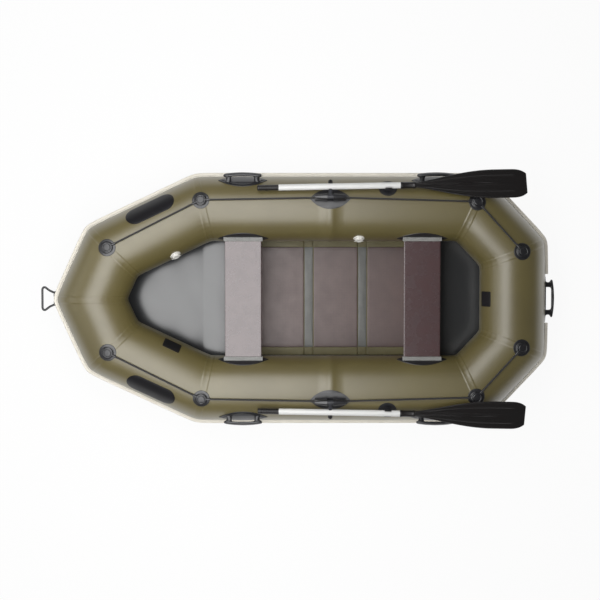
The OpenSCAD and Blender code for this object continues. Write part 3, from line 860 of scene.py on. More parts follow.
@dataclass(frozen=True)
class Ring:
    """The middle line of the ring of tubes, and everything that is placed by it."""

    tube_r: float = 0.1775
    axis_z: float = 0.1805
    tube_y: float = 0.4915
    knee_x: float = 0.518913
    bow_l: float = 0.607
    nose_rake: float = 0.116
    nose_half: float = 0.256
    side_l: float = 1.461
    quarter_l: float = 0.230
    stern_half: float = 0.248
    rise: float = 6.0

    @property
    def line(self) -> np.ndarray:
        """The port half of the line from the nose, counted from the knee, in its own plane."""
        return np.array(
            [
                [self.bow_l, 0],
                [self.bow_l - self.nose_rake, self.nose_half],
                [0, self.tube_y],
                [-self.side_l, self.tube_y],
                [-self.side_l - self.quarter_l, self.stern_half],
                [-self.side_l - self.quarter_l, -self.stern_half],
            ]
        )

    def plane(self, raised: bool) -> Place:
        """Returns the plane of the raised bow, or of the flat hull."""
        base = Place(np.array([self.knee_x, 0, self.axis_z]))
        return base.turned(1, -self.rise) if raised else base

    def corner(self, k: int) -> np.ndarray:
        """Returns corner k of the line in the boat; 0 is the nose and 4 the stern's."""
        return self.plane(k < 2).put(np.append(self.line[k], 0.0))

    def run_in(self, k: int) -> np.ndarray:
        """Returns the way the line comes into corner k."""
        before = self.corner(1) * [1, -1, 1] if k == 0 else self.corner(k - 1)
        return unit(self.corner(k) - before)

    def run_out(self, k: int) -> np.ndarray:
        """Returns the way the line leaves corner k."""
        return unit(self.corner(k + 1) - self.corner(k))

    def up_at(self, k: int) -> np.ndarray:
        """Returns up, square to the plane that corner k belongs to."""
        return self.plane(k < 2).axes[2]

    def stop(self, k: int) -> Stop:
        """Returns the stop at corner k."""
        side = unit(np.cross(self.run_out(k), self.up_at(k)))
        return Stop(self.corner(k), self.run_in(k), self.run_out(k), side, self.up_at(k))

    def side_stop(self, x: float) -> Stop:
        """Returns a square cut through the straight side tube at x."""
        back = np.array([-1.0, 0, 0])
        place = np.array([x, self.tube_y, self.axis_z])
        return Stop(place, back, back, np.array([0, 1.0, 0]), UP, False)

    def stern_stop(self, y: float) -> Stop:
        """Returns a square cut through the stern tube at y."""
        across = np.array([0, -1.0, 0])
        place = np.array([self.corner(4)[0], y, self.axis_z])
        return Stop(place, across, across, np.array([-1.0, 0, 0]), UP, False)

    def over_corner(self, k: int, radius: float, turn: float) -> np.ndarray:
        """Returns a point over corner k, turned outwards from the crest by degrees."""
        a = math.radians(turn)
        profile = radius * np.array([[math.sin(a), math.cos(a)]])
        return self.stop(k).carry(profile)[0]

    def over_side(self, x: float, radius: float, turn: float) -> np.ndarray:
        """Returns a point over the side tube at x, turned outwards by degrees."""
        a = math.radians(turn)
        return np.array(
            [x, self.tube_y + radius * math.sin(a), self.axis_z + radius * math.cos(a)]
        )

    def on_tube(self, length: int, along: float, turn: float = 0.0) -> Place:
        """Returns a place on one of the tubes.

        Args:
            length: 0 for the nose, 1 the bow, 2 the side, 3 the quarter, 4 the stern.
            along: Distance along it from its first corner.
            turn: Degrees outwards from the crest.

        Returns:
            The place: X along the tube, Z outwards, with its origin on the middle line.
        """
        start, end = self.line[length], self.line[length + 1]
        yaw = math.degrees(math.atan2(end[1] - start[1], end[0] - start[0]))
        base = self.plane(length < 2).moved(start[0], start[1])
        return base.turned(2, yaw).moved(along).turned(0, turn)

    def length(self, n: int) -> float:
        """Returns the length of tube n along its middle line."""
        return float(np.linalg.norm(self.line[n + 1] - self.line[n]))


RING = Ring()


def swept(
    profile: np.ndarray,
    stops: Sequence[Stop],
    rounding: np.ndarray,
    offsets: Sequence[float],
    swell: Any = None,
    step: float = 0.06,
) -> np.ndarray:
    """Carries a profile past stops, with each bend eased.

    A line of the surface that comes into a bend at point P along i and leaves it along o is
    P + i (d - q) / 2 + o (d + q) / 2 at distance d, with q = sqrt(d^2 + c^2), which keeps to
    both straight lines and cuts the corner by c. Rows between two stops are evenly spaced.

    Args:
        profile: Points in a ring, each out and up from the middle line.
        stops: The stops in order.
        rounding: The cut c of each profile point.
        offsets: The distances d of the rows at a bend, in order.
        swell: A function of d that gives how far each profile point stands out at a bend.
        step: Greatest distance between rows on a straight length.

    Returns:
        Points, rows by profile by 3.
    """
    size = np.linalg.norm(profile, axis=1, keepdims=True)
    rows: list[np.ndarray] = []
    for number, stop in enumerate(stops):
        block = []
        for d in offsets if stop.bend else (0.0,):
            if stop.bend and ((number == 0 and d < 0) or (number == len(stops) - 1 and d > 0)):
                continue
            lifted = profile
            if swell is not None and stop.bend:
                lifted = profile * (size + swell(d)[:, None]) / size
            point = stop.carry(lifted)
            if stop.bend:
                q = np.sqrt(d * d + rounding**2)[:, None]
                point = point + stop.into * (d - q) / 2 + stop.out_of * (d + q) / 2
            block.append(point)
        if rows:
            last, first = rows[-1], block[0]
            gap = float(np.linalg.norm(first.mean(0) - last.mean(0)))
            shares = np.linspace(0, 1, int(gap // step) + 2)[1:-1]
            rows += [last * (1 - t) + first * t for t in shares]
        rows += block
    return np.stack(rows)


# ---- hull ----


@dataclass
class Hull:
    """The ring of tubes in two chambers, its rubbing strake and the fabric bottom."""

    chamber_x: float = -0.1745
    sides: int = 192
    tape_half: float = 0.018
    tape_t: float = 0.7 * MM
    pucker: float = 1.3 * MM
    strake_out: float = 0.017
    strake_h: float = 0.044
    strake_gap: float = 0.134
    lip_t: float = 2.4 * MM
    lip_turn: float = 15.0
    margin_lift: float = 0.05
    margin_round: float = 0.018
    lift_start: float = 0.25
    bottom_lap: float = 0.055
    bottom_t: float = 0.003

    def _turns(self) -> np.ndarray:
        """Returns the angle of each point round the tube, outwards from the crest."""
        return np.linspace(-math.pi, math.pi, self.sides, endpoint=False)

    def _rounding(self, turns: np.ndarray) -> np.ndarray:
        """Returns how far a bend is cut: 8 mm on the cockpit side to 30 mm outside."""
        return 0.008 + 0.022 * ((1 + np.sin(turns)) / 2) ** 2

    def _swell(self, distance: float) -> np.ndarray:
        """Returns the tape over a mitre and the puckers on the inside of the bend.

        The puckers are cosine folds 31 mm apart that fade over 50 mm from the mitre and over
        50 degrees from the innermost line.
        """
        turns = self._turns()
        inner = np.exp(-(((turns + math.pi / 2) / math.radians(50)) ** 2))
        fold = 0.5 + 0.5 * np.cos(36 * turns)
        fade = math.exp(-((distance / 0.05) ** 2))
        tape = self.tape_t if abs(distance) <= self.tape_half + 1e-6 else 0.0
        return tape - self.pucker * fade * inner * fold

    def _tube(self, stops: Sequence[Stop]) -> np.ndarray:
        """Returns the tube's skin past the stops."""
        turns = self._turns()
        profile = RING.tube_r * np.stack([np.sin(turns), np.cos(turns)], -1)
        half = self.tape_half
        near = [half, half + 0.0012, 0.026, 0.036, 0.05, 0.07, 0.1]
        inside = [0.0, 0.004, 0.009, 0.0135]
        offsets = [-d for d in reversed(inside[1:] + near)] + inside + near
        return swept(profile, stops, self._rounding(turns), offsets, self._swell)

    def _taped_cut(self, x: float, ahead: bool) -> list[Stop]:
        """Returns square cuts at a chamber's end, where a tape covers the join."""
        way = 1 if ahead else -1
        return [RING.side_stop(x + way * d) for d in (0.0012 + self.tape_half, self.tape_half, 0)]

    def tubes(self) -> list[bpy.types.Object]:
        """Makes the skins of the two chambers.

        Returns:
            The fore and the aft skin.
        """
        made = []
        for name, node, stops in (
            ("fore_tube_skin", "fore_chamber", [RING.stop(k) for k in (0, 1, 2)]),
            ("aft_tube_skin", "aft_chamber", [RING.stop(k) for k in (3, 4)]),
        ):
            fore = node == "fore_chamber"
            cuts = self._taped_cut(self.chamber_x, fore)
            chain = stops + cuts if fore else cuts[::-1] + stops + [RING.stern_stop(0.0)]
            grid = self._tube(chain)
            rows = slice(-2, None) if fore else slice(0, 2)
            middle = np.array([0, RING.tube_y, RING.axis_z])
            square = grid[rows] - middle
            scale = (RING.tube_r + self.tape_t) / RING.tube_r
            grid[rows] = middle + square * np.array([1, scale, scale])
            half = Shell(grid, start_closed=not fore, end_closed=fore)
            made.append(make_piece(name, both_sides([half]), replaces=[node], sharp=50))
        return made

    def strakes(self) -> list[bpy.types.Object]:
        """Makes the two halves of the rubbing strake: a band, two round ribs and an upper lip.

        Each rib's outer line is a half circle. The band and the lip follow the tube, at angles
        from the outermost line up to the lip's edge.
        """
        rib, out = self.strake_h / 4, RING.tube_r + self.strake_out
        base, lip_r = RING.tube_r + 0.4 * MM, RING.tube_r + self.lip_t
        turn = np.linspace(-math.pi / 2, math.pi / 2, 9)
        low = math.asin(-2 * rib / base)
        inner = np.linspace(math.radians(self.lip_turn), low, 9)
        ribs = [
            np.stack([out - rib + rib * np.cos(turn), s * rib + 0.9 * rib * np.sin(turn)], -1)
            for s in (-1, 1)
        ]
        lip = np.linspace(math.asin((2 * rib + 3 * MM) / lip_r), math.radians(self.lip_turn), 5)
        profile = np.vstack(
            [
                base * np.stack([np.cos(inner), np.sin(inner)], -1),
                ribs[0],
                [[out - 8 * MM, 0]],
                ribs[1],
                lip_r * np.stack([np.cos(lip), np.sin(lip)], -1),
            ]
        )
        stops = [RING.stop(k) for k in range(5)] + [RING.stern_stop(self.strake_gap)]
        offsets = [-0.1, -0.06, -0.03, -0.015, 0, 0.015, 0.03, 0.06, 0.1]
        cut = np.full(len(profile), self._rounding(np.array(math.pi / 2)))
        grid = swept(profile, stops, cut, offsets, step=0.2)
        return [
            side_piece(side, "rubbing_strake", [Shell(grid)], "strake", sharp=45) for side in Side
        ]

    def bottom(self) -> bpy.types.Object:
        """Makes the fabric bottom.

        The sheet is flat to the fold under the knee and rises with the bow. At a distance d
        outside the tubes' middle line it wraps up the tube by r - sqrt(r^2 - d^2). Ahead of the
        mat it lifts beside the tubes: the lift grows from 50 to 140 mm inside the middle line,
        and further in it falls off by 1/e every 36 mm. Across, it runs from side to side as
        y = half width times a share from 1 to -1.
        """
        line = RING.line
        flat = np.array([[RING.knee_x + p[0], p[1]] for p in line])
        for k in (0, 1):
            flat[k] = RING.corner(k)[:2]
        ahead = np.vstack([[flat[1, 0], -flat[1, 1]], flat])
        ways = unit(np.diff(ahead, axis=0))
        turn = unit(ways[:-1] + ways[1:])
        normal = np.stack([-turn[:, 1], turn[:, 0]], -1)
        normal *= np.sign((normal * (flat[:5] - [-0.1, 0])).sum(1))[:, None]
        cosine = (ways[:-1] * turn).sum(1)[:, None]
        rim = flat[:5] + normal * self.bottom_lap / cosine
        stern_x, tip_x = rim[4, 0], rim[0, 0]
        x = np.unique(np.concatenate([np.linspace(stern_x, tip_x, 150), rim[:, 0]]))
        half = np.interp(x, rim[::-1, 0], rim[::-1, 1])
        half[0] = rim[4, 1]
        share = np.cos(np.linspace(0, math.pi, 97))
        xx = np.broadcast_to(x[:, None], (len(x), len(share)))
        yy = half[:, None] * share
        out = self._outside(np.stack([xx, np.abs(yy)], -1), flat)
        radius = RING.tube_r
        wrap = radius - np.sqrt(radius**2 - np.clip(out, 0, self.bottom_lap) ** 2)
        fold = RING.knee_x + RING.axis_z * math.tan(math.radians(RING.rise / 2))
        slope = math.tan(math.radians(RING.rise))
        ahead_of = xx - fold
        rise = slope * (ahead_of + np.sqrt(ahead_of**2 + 0.012**2)) / 2 - slope * 0.006 * np.exp(
            -np.abs(ahead_of) / 0.02
        )
        low = np.maximum(rise, 0) + wrap
        free = ease((-out - 0.06) / 0.12)
        inward = -self._rounded_distance(np.stack([xx, yy], -1), flat)
        margin = ease((inward - 0.05) / 0.09) * np.exp(-np.clip(inward - 0.14, 0, None) / 0.036)
        low = low + self.margin_lift * margin * ease((xx - self.lift_start) / 0.06)
        ripple = np.sin(xx * 41 + 3 * np.sin(yy * 7)) * 0.4 * MM
        ripple = ripple + np.sin(yy * 33 + xx * 9) * 0.3 * MM
        top = low + self.bottom_t + free * (0.5 * MM + ripple * ease((xx - self.lift_start) / 0.2))
        upper = np.stack([xx, yy, top], -1)
        lower = np.stack([xx, yy, low], -1)[:, ::-1]
        grid = np.concatenate([upper, lower], 1)
        return make_piece("bottom_fabric", [Shell(grid)], replaces=["bottom_panel"], sharp=40)

    def _rounded_distance(self, points: np.ndarray, line: np.ndarray) -> np.ndarray:
        """Returns how far points lie outside the middle line, with its corners rounded.

        It is w log(sum of exp(d / w)) over the distances d outside each length's own line.

        Args:
            points: Points on both sides of the boat.
            line: The port half of the middle line from the nose to past the stern's middle.
        """
        middle = np.array([-0.1, 0.0])
        total = np.zeros(points.shape[:-1])
        for flip in (1.0, -1.0):
            half = line * [1.0, flip]
            for start, end in zip(half[:-1], half[1:]):
                way = unit(end - start)
                normal = np.array([way[1], -way[0]])
                normal = normal * np.sign(normal @ (start - middle))
                total += np.exp((points - start) @ normal / self.margin_round)
        return self.margin_round * np.log(total)

    @staticmethod
    def _outside(points: np.ndarray, line: np.ndarray) -> np.ndarray:
        """Returns how far points lie outside the middle line, below zero inside it.

        Args:
            points: Points with y at or above zero.
            line: The port half of the middle line from the nose to past the stern's middle.
        """
        best = np.full(points.shape[:-1], 1e9)
        sign = np.ones_like(best)
        middle = np.array([-0.1, 0.0])
        for start, end in zip(line[:-1], line[1:]):
            way = end - start
            t = np.clip(((points - start) @ way) / (way @ way), 0, 1)
            near = start + t[..., None] * way
            gap = np.linalg.norm(points - near, axis=-1)
            normal = np.array([way[1], -way[0]])
            normal = normal * np.sign(normal @ (start - middle))
            side = np.sign((points - start) @ normal)
            closer = gap < best
            best, sign = np.where(closer, gap, best), np.where(closer, side, sign)
        return best * sign

    def build(self) -> None:
        """Makes the hull's pieces and dresses them."""
        OLIVE_PVC.dress(*self.tubes())
        IVORY_PVC.dress(*self.strakes())
        SLATE_PVC.dress(self.bottom())


# ---- floor and seats ----


@dataclass
class Floor:
    """The floor mat, its three boards, the pockets at their ends and the hinge strips."""

    board_l: float = 0.245
    pitch: float = 0.301
    middle_x: float = -0.209
    strip_w: float = 0.046
    corner: float = 0.004

    def board(self, name: str, node: str) -> bpy.types.Object:
        """Makes one board with eased edges in its CAD node's box."""
        low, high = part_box(node)
        size, middle = high - low, (high + low) / 2
        grid = slab(
            round_rect(size.x, size.y, self.corner), low.z, high.z, 1.6 * MM, 1.2 * MM
        )
        return make_piece(name, [Shell(grid + [middle.x, middle.y, 0])], replaces=[node])

    def _pads(self) -> list[Shell]:
        """Returns the mat's welded pockets: a pad at each end of each board and strip."""
        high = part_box("floor_mat")[1]
        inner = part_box("floor_board_mid")[1].y + 0.4 * MM
        wide = high.y - inner
        shells = []
        for n in (-2, -1, 0, 1, 2):
            board = n % 2 == 0
            length = self.board_l + 2 * MM if board else self.strip_w - 2 * MM
            tall = 7.5 * MM if board else 4.5 * MM
            grid = slab(
                round_rect(length, wide - 1 * MM, 3 * MM), high.z - 0.3 * MM, high.z + tall,
                2.6 * MM, crown=0.5 * MM,
            )
            for sign in (-1, 1):
                at = [self.middle_x + n * self.pitch / 2, sign * (inner + wide / 2), 0]
                shells.append(Shell(grid + at))
        return shells

    def mat(self) -> bpy.types.Object:
        """Makes the mat with its pockets."""
        low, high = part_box("floor_mat")
        size, middle = high - low, (high + low) / 2
        grid = slab(round_rect(size.x, size.y, 0.012), low.z, high.z, 0.8 * MM)
        base = Shell(grid + [middle.x, middle.y, 0])
        return make_piece("floor_mat_fabric", [base, *self._pads()], replaces=["floor_mat"])

    def strips(self) -> bpy.types.Object:
        """Makes the two hinge strips, each a low arch between its boards."""
        low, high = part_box("mat_strips")
        shells = []
        for n in (-0.5, 0.5):
            grid = slab(
                round_rect(self.strip_w, high.y - low.y, 2 * MM), low.z, high.z - 1 * MM,
                1.2 * MM, crown=1.5 * MM,
            )
            shells.append(Shell(grid + [self.middle_x + n * self.pitch, 0, 0]))
        return make_piece("hinge_strips", shells, replaces=["mat_strips"])

    def build(self) -> None:
        """Makes the floor's pieces and dresses them."""
        for name in ("fore", "mid", "aft"):
            FLOOR_PLY.dress(self.board(f"board_{name}", f"floor_board_{name}"))
        MAT_PVC.dress(self.mat())
        STRIP_PVC.dress(self.strips())


@dataclass
class Seats:
    """Two plank seats, held at their ends by ribbed sections on lens-shaped patches."""

    fore_x: float = 0.298
    aft_x: float = -0.671
    wide: float = 0.198
    lap: float = 0.009
    wall: float = 0.006
    patch_l: float = 0.274
    patch_w: float = 0.104
    patch_t: float = 0.003
    patch_turn: float = -66.0
    rib_pitch: float = 0.0075
    rib_h: float = 0.7 * MM

    def plank(self, name: str, node: str) -> bpy.types.Object:
        """Makes one seat board with rounded edges in its CAD node's box."""
        low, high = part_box(node)
        size, middle = high - low, (high + low) / 2
        grid = slab(round_rect(size.x, size.y, 5 * MM), low.z, high.z, 2.6 * MM, 2.6 * MM)
        return make_piece(name, [Shell(grid + [middle.x, middle.y, 0])], replaces=[node])

    def _holder(self, x: float) -> Shell:
        """Returns one holder on the port side: a C section along x with ribs across it.

        The ribs lift the section's outer faces by rib height times a raised cosine of x.
        """
        seat_low, seat_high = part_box("seat_fore")
        end, under, over = seat_high.y, seat_low.z, seat_high.z
        tip, fit = end - self.lap, 0.15 * MM
        top, low = over + fit + self.wall - self.rib_h, under - fit - self.wall + self.rib_h
        radius = RING.tube_r + self.patch_t
        heights = np.linspace(top, low, 7)
        flank = np.stack(
            [RING.tube_y - np.sqrt(radius**2 - (heights - RING.axis_z) ** 2), heights], -1
        )
        nose = 2 * MM
        profile = np.vstack(
            [
                [[tip, over + fit], [tip, top - nose], [tip + 0.6 * MM, top - 0.6 * MM]],
                [[tip + nose, top], [tip + 8 * MM, top]],
                flank,
                [[tip + 8 * MM, low], [tip + nose, low], [tip + 0.6 * MM, low + 0.6 * MM]],
                [[tip, low + nose], [tip, under - fit], [end + fit, under - fit]],
                [[end + fit, over + fit]],
            ]
        )
        outer = np.zeros(len(profile))
        outer[1:6] = outer[11:16] = 1.0
        away = unit(profile - np.array([tip + 12 * MM, (top + low) / 2]))
        half = self.wide / 2 + self.wall
        run = np.linspace(-half, half, 197)
        lift = self.rib_h * (0.5 + 0.5 * np.cos(2 * math.pi * run / self.rib_pitch)) ** 0.6
        rows = profile[None] + lift[:, None, None] * (outer[:, None] * away)[None]
        return Shell(
            np.concatenate(
                [np.broadcast_to((x + run)[:, None, None], rows.shape[:2] + (1,)), rows], -1
            )
        )

    def holders(self) -> bpy.types.Object:
        """Makes the four holders."""
        shells = both_sides([self._holder(x) for x in (self.fore_x, self.aft_x)])
        return make_piece("ribbed_seat_holders", shells, replaces=["seat_holders"])

    def patches(self) -> bpy.types.Object:
        """Makes the four glued patches under the holders."""
        outline = lens(self.patch_l, self.patch_w)
        grid = hug(slab(outline, -1 * MM, self.patch_t, 1.8 * MM), RING.tube_r)
        port = [
            Shell(RING.on_tube(2, RING.knee_x - x, self.patch_turn).put(grid))
            for x in (self.fore_x, self.aft_x)
        ]
        return make_piece("seat_holder_patches", both_sides(port), replaces=["seat_patches"])

    def build(self) -> None:
        """Makes the seats' pieces and dresses them."""
        for name in ("fore", "aft"):
            SEAT_PLY.dress(self.plank(f"{name}_seat_plank", f"seat_{name}"))
        HOLDER_PVC.dress(self.holders())
        MOULDED.dress(self.patches())


# ---- oars and rowlocks ----


@dataclass
class Oar:
    """One stowed oar: its shaft, grip, ferrule, blade, pin and nut."""

    side: Side
    axle: tuple[float, float, float] = (-0.172, 0.5485, 0.384174)
    pin_drop: float = 20.0
    reach: float = 0.058
    splay: float = 1.1
    shaft_r: float = 0.0165
    shaft_fore: float = 0.276
    shaft_aft: float = 0.373
    grip_r: float = 0.0155
    grip_l: float = 0.113
    ferrule_l: float = 0.080
    blade_l: float = 0.592
    blade_w: float = 0.164
    nut_r: float = 0.012
    nut_h: float = 0.018
    nut_start: float = 0.0748

    @property
    def body(self) -> str:
        """The CAD body that the oar moves with."""
        return f"oar_{self.side.value}"

    @property
    def oar_place(self) -> Place:
        """The oar's place: X along the shaft to the grip, Y along the pin outwards."""
        return Place(np.array(self.axle)).turned(0, -self.pin_drop)

    @property
    def shaft_place(self) -> Place:
        """The shaft's place, with its middle line along X."""
        return self.oar_place.moved(y=self.reach).turned(2, -self.splay)

    def _make(self, name: str, shells: Sequence[Shell], node: str) -> bpy.types.Object:
        """Makes one of the oar's pieces on its own side."""
        return side_piece(self.side, name, shells, node, self.body)

    def _along(self, profile: Sequence[tuple[float, float]], start: float, sides: int) -> Shell:
        """Returns a part turned about the shaft's middle line from x = start towards the grip."""
        grid = turned_part(profile, sides)[..., [2, 0, 1]]
        return Shell(self.shaft_place.put(grid + [start, 0, 0]))

    def shaft(self) -> bpy.types.Object:
        """Makes the tube of the shaft, with turned-in ends."""
        r, length = self.shaft_r, self.shaft_fore + self.shaft_aft
        profile = [(r - 2 * MM, 0), (r - 0.5 * MM, 0.2 * MM), (r, 0.8 * MM)]
        profile += [(r, length * n / 12) for n in range(1, 12)]
        profile += [(r, length - 0.8 * MM), (r - 0.5 * MM, length - 0.2 * MM), (r - 2 * MM, length)]
        return self._make("shaft_tube", [self._along(profile, -self.shaft_aft, 56)], "oar_shaft")

    def grip(self) -> bpy.types.Object:
        """Makes the moulded grip: a sleeve with grooves round it and a rounded end.

        The sleeve's radius dips by 1 mm times the tenth power of a cosine every 9 mm.
        """
        at = np.linspace(0, self.grip_l - 6 * MM, 120)
        radius = self.grip_r - 1 * MM * np.cos(math.pi * at / 0.009) ** 10
        radius[:8] = self.grip_r
        end = np.linspace(0, math.pi / 2, 8)
        rounded = self.grip_r - 5.5 * MM * (1 - np.cos(end))
        cap = zip(rounded, self.grip_l - 6 * MM + 6 * MM * np.sin(end))
        profile = [(self.grip_r - 1 * MM, 0.0), *zip(radius, at + 0.5 * MM), *cap]
        shell = self._along([(float(a), float(b)) for a, b in profile], self.shaft_fore, 48)
        return self._make("grip_sleeve", [shell], "oar_grip")

    def ferrule(self) -> bpy.types.Object:
        """Makes the socket between the shaft and the blade, with two raised collars."""
        r, length = self.shaft_r + 1.5 * MM, self.ferrule_l
        profile = [
            (r - 2 * MM, 0), (r + 0.6 * MM, 0.5 * MM), (r + 0.9 * MM, 2 * MM),
            (r + 0.9 * MM, 12 * MM), (r - 0.2 * MM, 14 * MM), (r - 0.6 * MM, 16 * MM),
            (r - 0.6 * MM, length - 18 * MM), (r - 0.2 * MM, length - 16 * MM),
            (r + 0.6 * MM, length - 14 * MM), (r + 0.6 * MM, length - 2 * MM),
            (r, length - 0.5 * MM), (r - 1.4 * MM, length),
        ]
        shell = self._along(profile, -self.shaft_aft - length, 48)
        return self._make("blade_socket", [shell], "oar_ferrule")

    def _half(self, t: np.ndarray) -> np.ndarray:
        """Returns the blade's half width at share t of its length from the socket.

        It opens as root + (full - root) sin(90 t / 0.72) ^ 1.25 and is drawn in at the tip
        past 0.86 by sqrt(1 - 0.55 ((t - 0.86) / 0.14) ^ 2.6).
        """
        root, full = self.shaft_r * 0.8, self.blade_w / 2
        opening = np.sin(np.minimum(t / 0.72, 1) * math.pi / 2) ** 1.25
        tip = np.sqrt(1 - 0.55 * np.clip((t - 0.86) / 0.14, 0, 1) ** 2.6)
        return (root + (full - root) * opening) * tip

    def blade(self) -> bpy.types.Object:
        """Makes the blade.

        At share t of the length and share w of the half width, each face stands off the
        blade's plane by a 2.4 mm web, plus a spine 8 mm high that narrows and sinks towards
        the tip, plus two ribs that follow the edges at shares 0.56 and 0.93, and the rim
        closes in a round edge.
        """
        quarter = np.linspace(0, math.pi / 2, 16)[1:]
        t = np.concatenate([np.linspace(0, 0.9, 70), 0.9 + 0.1 * np.sin(quarter)])
        w = np.sin(np.linspace(-math.pi / 2, math.pi / 2, 81))
        tt, ww = np.meshgrid(t, w, indexing="ij")
        half = self._half(tt)
        y = half * ww
        closing = np.sqrt(np.clip(1 - np.abs(ww) ** 24, 0, 1)) * np.sqrt(
            np.clip(1 - np.clip((tt - 0.985) / 0.015, 0, 1) ** 2, 0, 1)
        )
        fade = 1 - ease((tt - 0.72) / 0.16)
        spine_half = (7.5 - 3 * tt) * MM
        spine_h = (8.0 * (1 - ease((tt - 0.35) / 0.5)) + 1.2 * fade) * MM
        spine = spine_h * np.exp(-((y / spine_half) ** 4))
        ribs = sum(
            height * MM * np.exp(-(((np.abs(ww) - at) * half / (2.6 * MM)) ** 2))
            for at, height in ((0.56, 2.4), (0.93, 1.8))
        )
        ribs = ribs * ease(tt / 0.12) * (1 - ease((tt - 0.86) / 0.1))
        root = 9.0 * MM * (1 - ease(tt / 0.10)) * np.sqrt(np.clip(1 - ww**2, 0, 1))
        off = closing * (2.4 * MM + ribs + np.maximum(spine, root))
        x = -self.shaft_aft - self.ferrule_l - tt * self.blade_l + 4 * MM * (1 - tt)
        upper = np.stack([x, y, off], -1)
        lower = np.stack([x, y, -off], -1)[:, ::-1][:, 1:-1]
        grid = np.concatenate([upper, lower], 1)
        return self._make("blade", [Shell(self.shaft_place.put(grid))], "oar_blade")

    def nut(self) -> bpy.types.Object:
        """Makes the knurled nut: a cap whose radius ripples 20 times round."""
        r, h = self.nut_r, self.nut_h
        rings = [
            (0.55 * r, 0), (0.92 * r, 0), (r, 1 * MM), (r, h - 4 * MM),
            (0.94 * r, h - 1.5 * MM), (0.7 * r, h - 0.3 * MM), (0.3 * r, h),
        ]
        grid = turned_part(rings, 120)
        angle = np.arctan2(grid[..., 1], grid[..., 0])
        ripple = 1 - 0.05 * (0.5 + 0.5 * np.cos(20 * angle)) ** 3
        grid[..., :2] *= ripple[..., None]
        grid = grid[..., [0, 2, 1]] * [1, 1, -1] + [0, self.nut_start, 0]
        return self._make("knurled_nut", [Shell(self.oar_place.put(grid))], "oar_nut")

    def build(self) -> None:
        """Makes the oar's pieces and dresses them."""
        SHAFT_WHITE.dress(self.shaft())
        OAR_BLACK.dress(self.grip(), self.ferrule(), self.blade(), self.nut())
        PIN_NYLON.dress(
            softened(f"rowlock_pin_{self.side.value}", f"oar_pin_{self.side.value}", self.body)
        )


@dataclass
class SideFittings:
    """The rowlock, the oar clip and the two carrying handles of one side."""

    side: Side
    handle_xs: tuple[float, float] = (0.298, -0.742)
    handle_turn: float = 56.0
    handle_out: float = 0.048

    def build(self) -> None:
        """Makes the fittings and dresses them."""
        tag = self.side.value
        MOULDED.dress(
            softened(f"rowlock_base_{tag}", f"rowlock_{tag}", width=1.6 * MM),
            softened(f"oar_rest_{tag}", f"oar_clip_{tag}", width=1.2 * MM),
        )
        shells = []
        for x in self.handle_xs:
            place = RING.on_tube(2, RING.knee_x - x, self.handle_turn)
            shells += handle_shells(place, self.handle_out)
        MOULDED.dress(side_piece(self.side, "carry_handles", shells, "handles"))


def handle_shells(place: Place, out: float) -> list[Shell]:
    """Makes a moulded handle: a lens-shaped base and a bar with horned ends on two feet.

    The bar is a band between an inner line, which is the opening, and an outer line, which is
    hollow at the feet, comes to a horn at each end and bows out in the middle. Across the
    band its section is a superellipse, |c|^0.7 by |s|^0.7.

    Args:
        place: The handle's place on its tube.
        out: How far the bar stands out.

    Returns:
        The shells of the base, its raised pad and the bar.
    """
    base_l, base_w, base_t = 0.263, 0.099, 3 * MM
    base = hug(slab(lens(base_l, base_w), -1 * MM, base_t, 1.8 * MM), RING.tube_r)
    pad_line = lens(base_l * 0.86, base_w * 0.72)
    pad = hug(slab(pad_line, -1 * MM, base_t + 2 * MM, 2 * MM), RING.tube_r)
    under = out - 0.0158
    inner = [
        (0.0600, -0.004), (0.0610, 0.006), (0.0620, under * 0.55), (0.0600, under * 0.85),
        (0.0550, under * 0.97), (0.0450, under), (0.0250, under), (0.0, under),
    ]
    outer = [
        (0.1010, -0.004), (0.0960, 0.004), (0.0895, 0.013), (0.0900, out - 0.026),
        (0.1040, out - 0.0175), (0.1020, out - 0.0095), (0.0560, out - 0.0026), (0.0, out),
    ]
    knots = np.linspace(0, 1, len(inner))
    share = np.linspace(0, 1, 36)
    lines = []
    for line in (np.array(inner), np.array(outer)):
        half = np.stack([np.interp(share, knots, line[:, n]) for n in range(2)], -1)
        whole = np.vstack([half * [-1, 1], half[-2::-1]])
        whole[4:-4] = smoothed(whole, 7)[4:-4]
        lines.append(whole)
    ring = np.linspace(0, 2 * math.pi, 28, endpoint=False)
    across = np.sign(np.cos(ring)) * np.abs(np.cos(ring)) ** 0.7
    deep = np.sign(np.sin(ring)) * np.abs(np.sin(ring)) ** 0.7
    middle, reach = (lines[0] + lines[1]) / 2, (lines[1] - lines[0]) / 2
    flat = middle[:, None] + reach[:, None] * across[None, :, None]
    foot = 1 - ease(middle[:, 1] / under)
    width = (0.0130 + 0.0060 * foot)[:, None] * deep
    bar = np.stack([flat[..., 0], width, flat[..., 1] + RING.tube_r], -1)
    return [Shell(place.put(g)) for g in (base, pad, bar)]


# ---- lifelines ----


